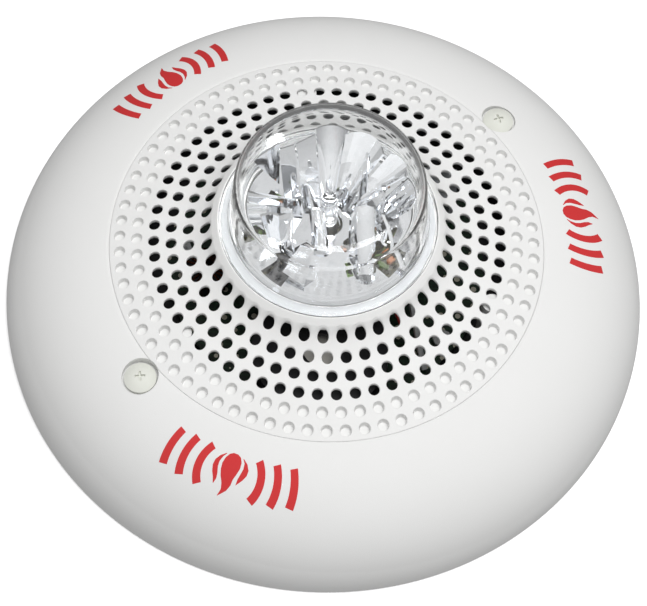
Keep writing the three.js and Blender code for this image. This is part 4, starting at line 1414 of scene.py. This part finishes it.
def stroke_patch(rule, columns, rows, centre_deg):
    """A thin closed patch whose outline is rule(s, t), with s and t from 0 to 1."""
    points = []
    for lift in (MARK_RISE, -MARK_SINK):
        for j in range(rows + 1):
            for i in range(columns + 1):
                u, v = rule(i / columns, j / rows)
                points.append(on_dome(u, v, centre_deg, lift))
    width, half = columns + 1, (columns + 1) * (rows + 1)
    faces = []
    for j in range(rows):
        for i in range(columns):
            a = j * width + i
            faces.append([a, a + 1, a + width + 1, a + width])
            faces.append([half + a + width, half + a + width + 1, half + a + 1, half + a])
    border = list(range(width)) + [j * width + columns for j in range(1, rows + 1)]
    border += [
        rows * width + i for i in range(columns - 1, -1, -1)
    ] + [j * width for j in range(rows - 1, 0, -1)]
    for a, b in zip(border, border[1:] + border[:1]):
        faces.append([a, half + a, half + b, b])
    return points, faces


def arc_stroke(radius, half_angle, weight, side):
    def rule(s, t):
        turn = math.radians(half_angle) * (2 * s - 1)
        r = radius + weight * (t - 0.5)
        return side * r * math.cos(turn), r * math.sin(turn)
    return rule


MAIN_TONGUE = [(-4.8, -0.5, 0.7), (-4.3, -1.5, 1.6), (-3.2, -2.1, 2.3), (-1.8, -2.2, 2.6)]
MAIN_TONGUE += [
    (-0.4, -1.8, 2.4), (1.0, -1.3, 1.9), (2.4, -1.2, 1.1), (3.8, -0.6, 0.7), (5.4, 1.0, 1.1),
]
LEFT_TONGUE = [(-4.2, -2.4, -2.2), (-3.2, -3.7, -2.9), (-1.9, -4.4, -3.0), (-0.6, -4.3, -2.7)]
LEFT_TONGUE += [(0.6, -3.6, -2.4), (2.0, -2.4, -2.3)]
RIGHT_TONGUE = [(-4.2, 2.3, 2.5), (-3.2, 3.0, 3.8), (-1.9, 3.4, 4.6), (-0.6, 3.3, 4.7)]
RIGHT_TONGUE += [(0.8, 2.8, 4.2), (2.0, 2.6, 3.5), (3.2, 2.9, 3.0)]


def between_knots(knots, v):
    """Left and right edge of an outline at the height v."""
    i = 0
    while i < len(knots) - 2 and v > knots[i + 1][0]:
        i += 1
    (v0, *a), (v1, *b) = knots[i], knots[i + 1]
    t = (v - v0) / (v1 - v0)
    return [p + (q - p) * t for p, q in zip(a, b)]


def flame_tongue(knots):
    def rule(s, t):
        v = knots[0][0] + (knots[-1][0] - knots[0][0]) * t
        left, right = between_knots(knots, v)
        return left + (right - left) * s, v
    return rule


print("marks at:", MARK_ANGLES_DEG)

# %% The printed marks
ARC_STROKES = [(8.0, 36, 2.0), (12.2, 23, 2.0), (16.4, 16, 2.0)]
marks = []
for centre_deg in MARK_ANGLES_DEG:
    for knots in (MAIN_TONGUE, LEFT_TONGUE, RIGHT_TONGUE):
        marks.append(stroke_patch(flame_tongue(knots), 4, 40, centre_deg))
    for radius, half_angle, weight in ARC_STROKES:
        for side in (-1, 1):
            marks.append(
                stroke_patch(arc_stroke(radius, half_angle, weight, side), 16, 3, centre_deg),
            )
finished_piece(mesh_of("printed_marks", *marks), red_ink, "head")

# %% [markdown]
# ## The mounting plate
#
# A flat round plate with a cable opening, four box slots and two screw bosses. A turned
# disc with booleans keeps its back flat and its rim rounded, like a moulding. Two low
# stiffening rings on the front face are turned with it.

# %% The mounting plate
def rounded_rectangle(width, depth, corner, x, y, turn_deg=0):
    outline = []
    spin = math.radians(turn_deg)
    for quarter, (sx, sy) in enumerate(((1, 1), (-1, 1), (-1, -1), (1, -1))):
        for i in range(7):
            angle = math.radians(90 * quarter + 15 * i)
            u = sx * (width / 2 - corner) + corner * math.cos(angle) + x
            v = sy * (depth / 2 - corner) + corner * math.sin(angle) + y
            outline.append(
                (u * math.cos(spin) - v * math.sin(spin), u * math.sin(spin) + v * math.cos(spin)),
            )
    return outline


PLATE_R = plate_high.x
PLATE_T = 2.5
BOSS_TOP = plate_high.z
RING_RADII = (64.0, 30.0)
WIRE_OPENING = (46, 30, 4, 0, -8)  # width, depth, corner and centre
BOX_SLOT = (12, 4.8, 2.3, 43, 0)
BOSS_R, BORE_R, BORE_FLOOR = 4.6, 3.25, 4.0
disc = [
    (0, 0), (PLATE_R - 0.5, 0), (PLATE_R - 0.15, 0.15), (PLATE_R, 0.5), (PLATE_R, PLATE_T - 0.5),
]
disc += [(PLATE_R - 0.15, PLATE_T - 0.15), (PLATE_R - 0.5, PLATE_T)]
for r in RING_RADII:
    disc += [
        (r + 0.9, PLATE_T), (r + 0.6, PLATE_T + 0.5), (r - 0.6, PLATE_T + 0.5), (r - 0.9, PLATE_T),
    ]
disc += [(0, PLATE_T)]
plate_mesh = mesh_of("plate_moulding", turned(disc, 144))
plate_tools = [rounded_rectangle(*WIRE_OPENING)]
plate_tools += [rounded_rectangle(*BOX_SLOT, turn) for turn in (0, 90, 180, 270)]
for outline in plate_tools:
    plate_mesh = boolean_cut(
        plate_mesh, mesh_of("plate_tool", straight_prism(outline, -2, PLATE_T + 3)),
    )
for x, y in screw_places:
    boss = [(0, 1.0), (BOSS_R, 1.0), (BOSS_R, PLATE_T), (4.4, PLATE_T + 0.8), (4.3, BOSS_TOP - 0.3)]
    boss += [(4.0, BOSS_TOP), (0, BOSS_TOP)]
    plate_mesh = boolean_cut(plate_mesh, mesh_of("plate_boss", turned(boss, 48, x, y)), "UNION")
    bore = [(0, BORE_FLOOR), (BORE_R, BORE_FLOOR), (BORE_R, BOSS_TOP + 1), (0, BOSS_TOP + 1)]
    plate_mesh = boolean_cut(plate_mesh, mesh_of("plate_bore", turned(bore, 40, x, y)))
plate_mesh.name = "plate_moulding"
finished_piece(plate_mesh, plate_white, "plate", ["mounting_plate"], 12)

# %% [markdown]
# ## The choke's winding
#
# A choke is one wire wound many times through a ring. One turn is a round wire laid round
# the ring's section, and the same geometry node tree that made the rings of holes copies it
# round the axis.

# %% The choke
choke_low, choke_high = corners("boost_inductor")
choke_x, choke_y = (choke_low.x + choke_high.x) / 2, (choke_low.y + choke_high.y) / 2
CHOKE_R = (choke_high.x - choke_low.x) / 2
CHOKE_WIRE_R = 0.36
CHOKE_TURNS = 22
CHOKE_BORE_R, CORE_MARGIN = 2.0, 0.75
core_in, core_out = CHOKE_BORE_R + CORE_MARGIN, CHOKE_R - CORE_MARGIN
core_floor, core_top = choke_low.z + CORE_MARGIN, choke_high.z - CORE_MARGIN
core = [(core_in, core_floor), (core_out, core_floor), (core_out, core_top), (core_in, core_top)]
core_mesh = mesh_of("choke_core", turned(core, 48, choke_x, choke_y))
finished_piece(core_mesh, black_moulding, "head")
loop = rounded_rectangle(
    CHOKE_R - CHOKE_BORE_R - 2 * CHOKE_WIRE_R, choke_high.z - choke_low.z - 2 * CHOKE_WIRE_R, 0.5,
    (CHOKE_R + CHOKE_BORE_R) / 2, (choke_high.z + choke_low.z) / 2,
)
turn_path = [(r, 0.25 * math.sin(2 * math.pi * i / len(loop)), z) for i, (r, z) in enumerate(loop)]
turn_mesh = mesh_of("choke_turn", wire_along([*turn_path, turn_path[0]], CHOKE_WIRE_R, 8))
winding_mesh = copied_round("choke_winding", turn_mesh, CHOKE_TURNS, 0.0, lacquered_copper)
winding_mesh.transform(Matrix.Translation((choke_x * MM, choke_y * MM, 0)))
finished_piece(winding_mesh, lacquered_copper, "head", ["boost_inductor"])

# %% [markdown]
# ## The floor's finish
#
# The ground is plain and pale. It still gets a faint mottle, so that it reads as a surface.

# %% Floor finish
floor_finish = plastic(
    "studio_ground", (0.93, 0.93, 0.93), (0.95, 0.95, 0.95), 0.7, 0.9, grain=400.0, depth=0.02,
)
FLOOR_GLOW = 0.3
floor_inputs = floor_finish.node_tree.nodes["Principled BSDF"].inputs
floor_inputs["Emission Color"].default_value = (1, 1, 1, 1)
floor_inputs["Emission Strength"].default_value = FLOOR_GLOW
floor_mesh.materials.append(floor_finish)
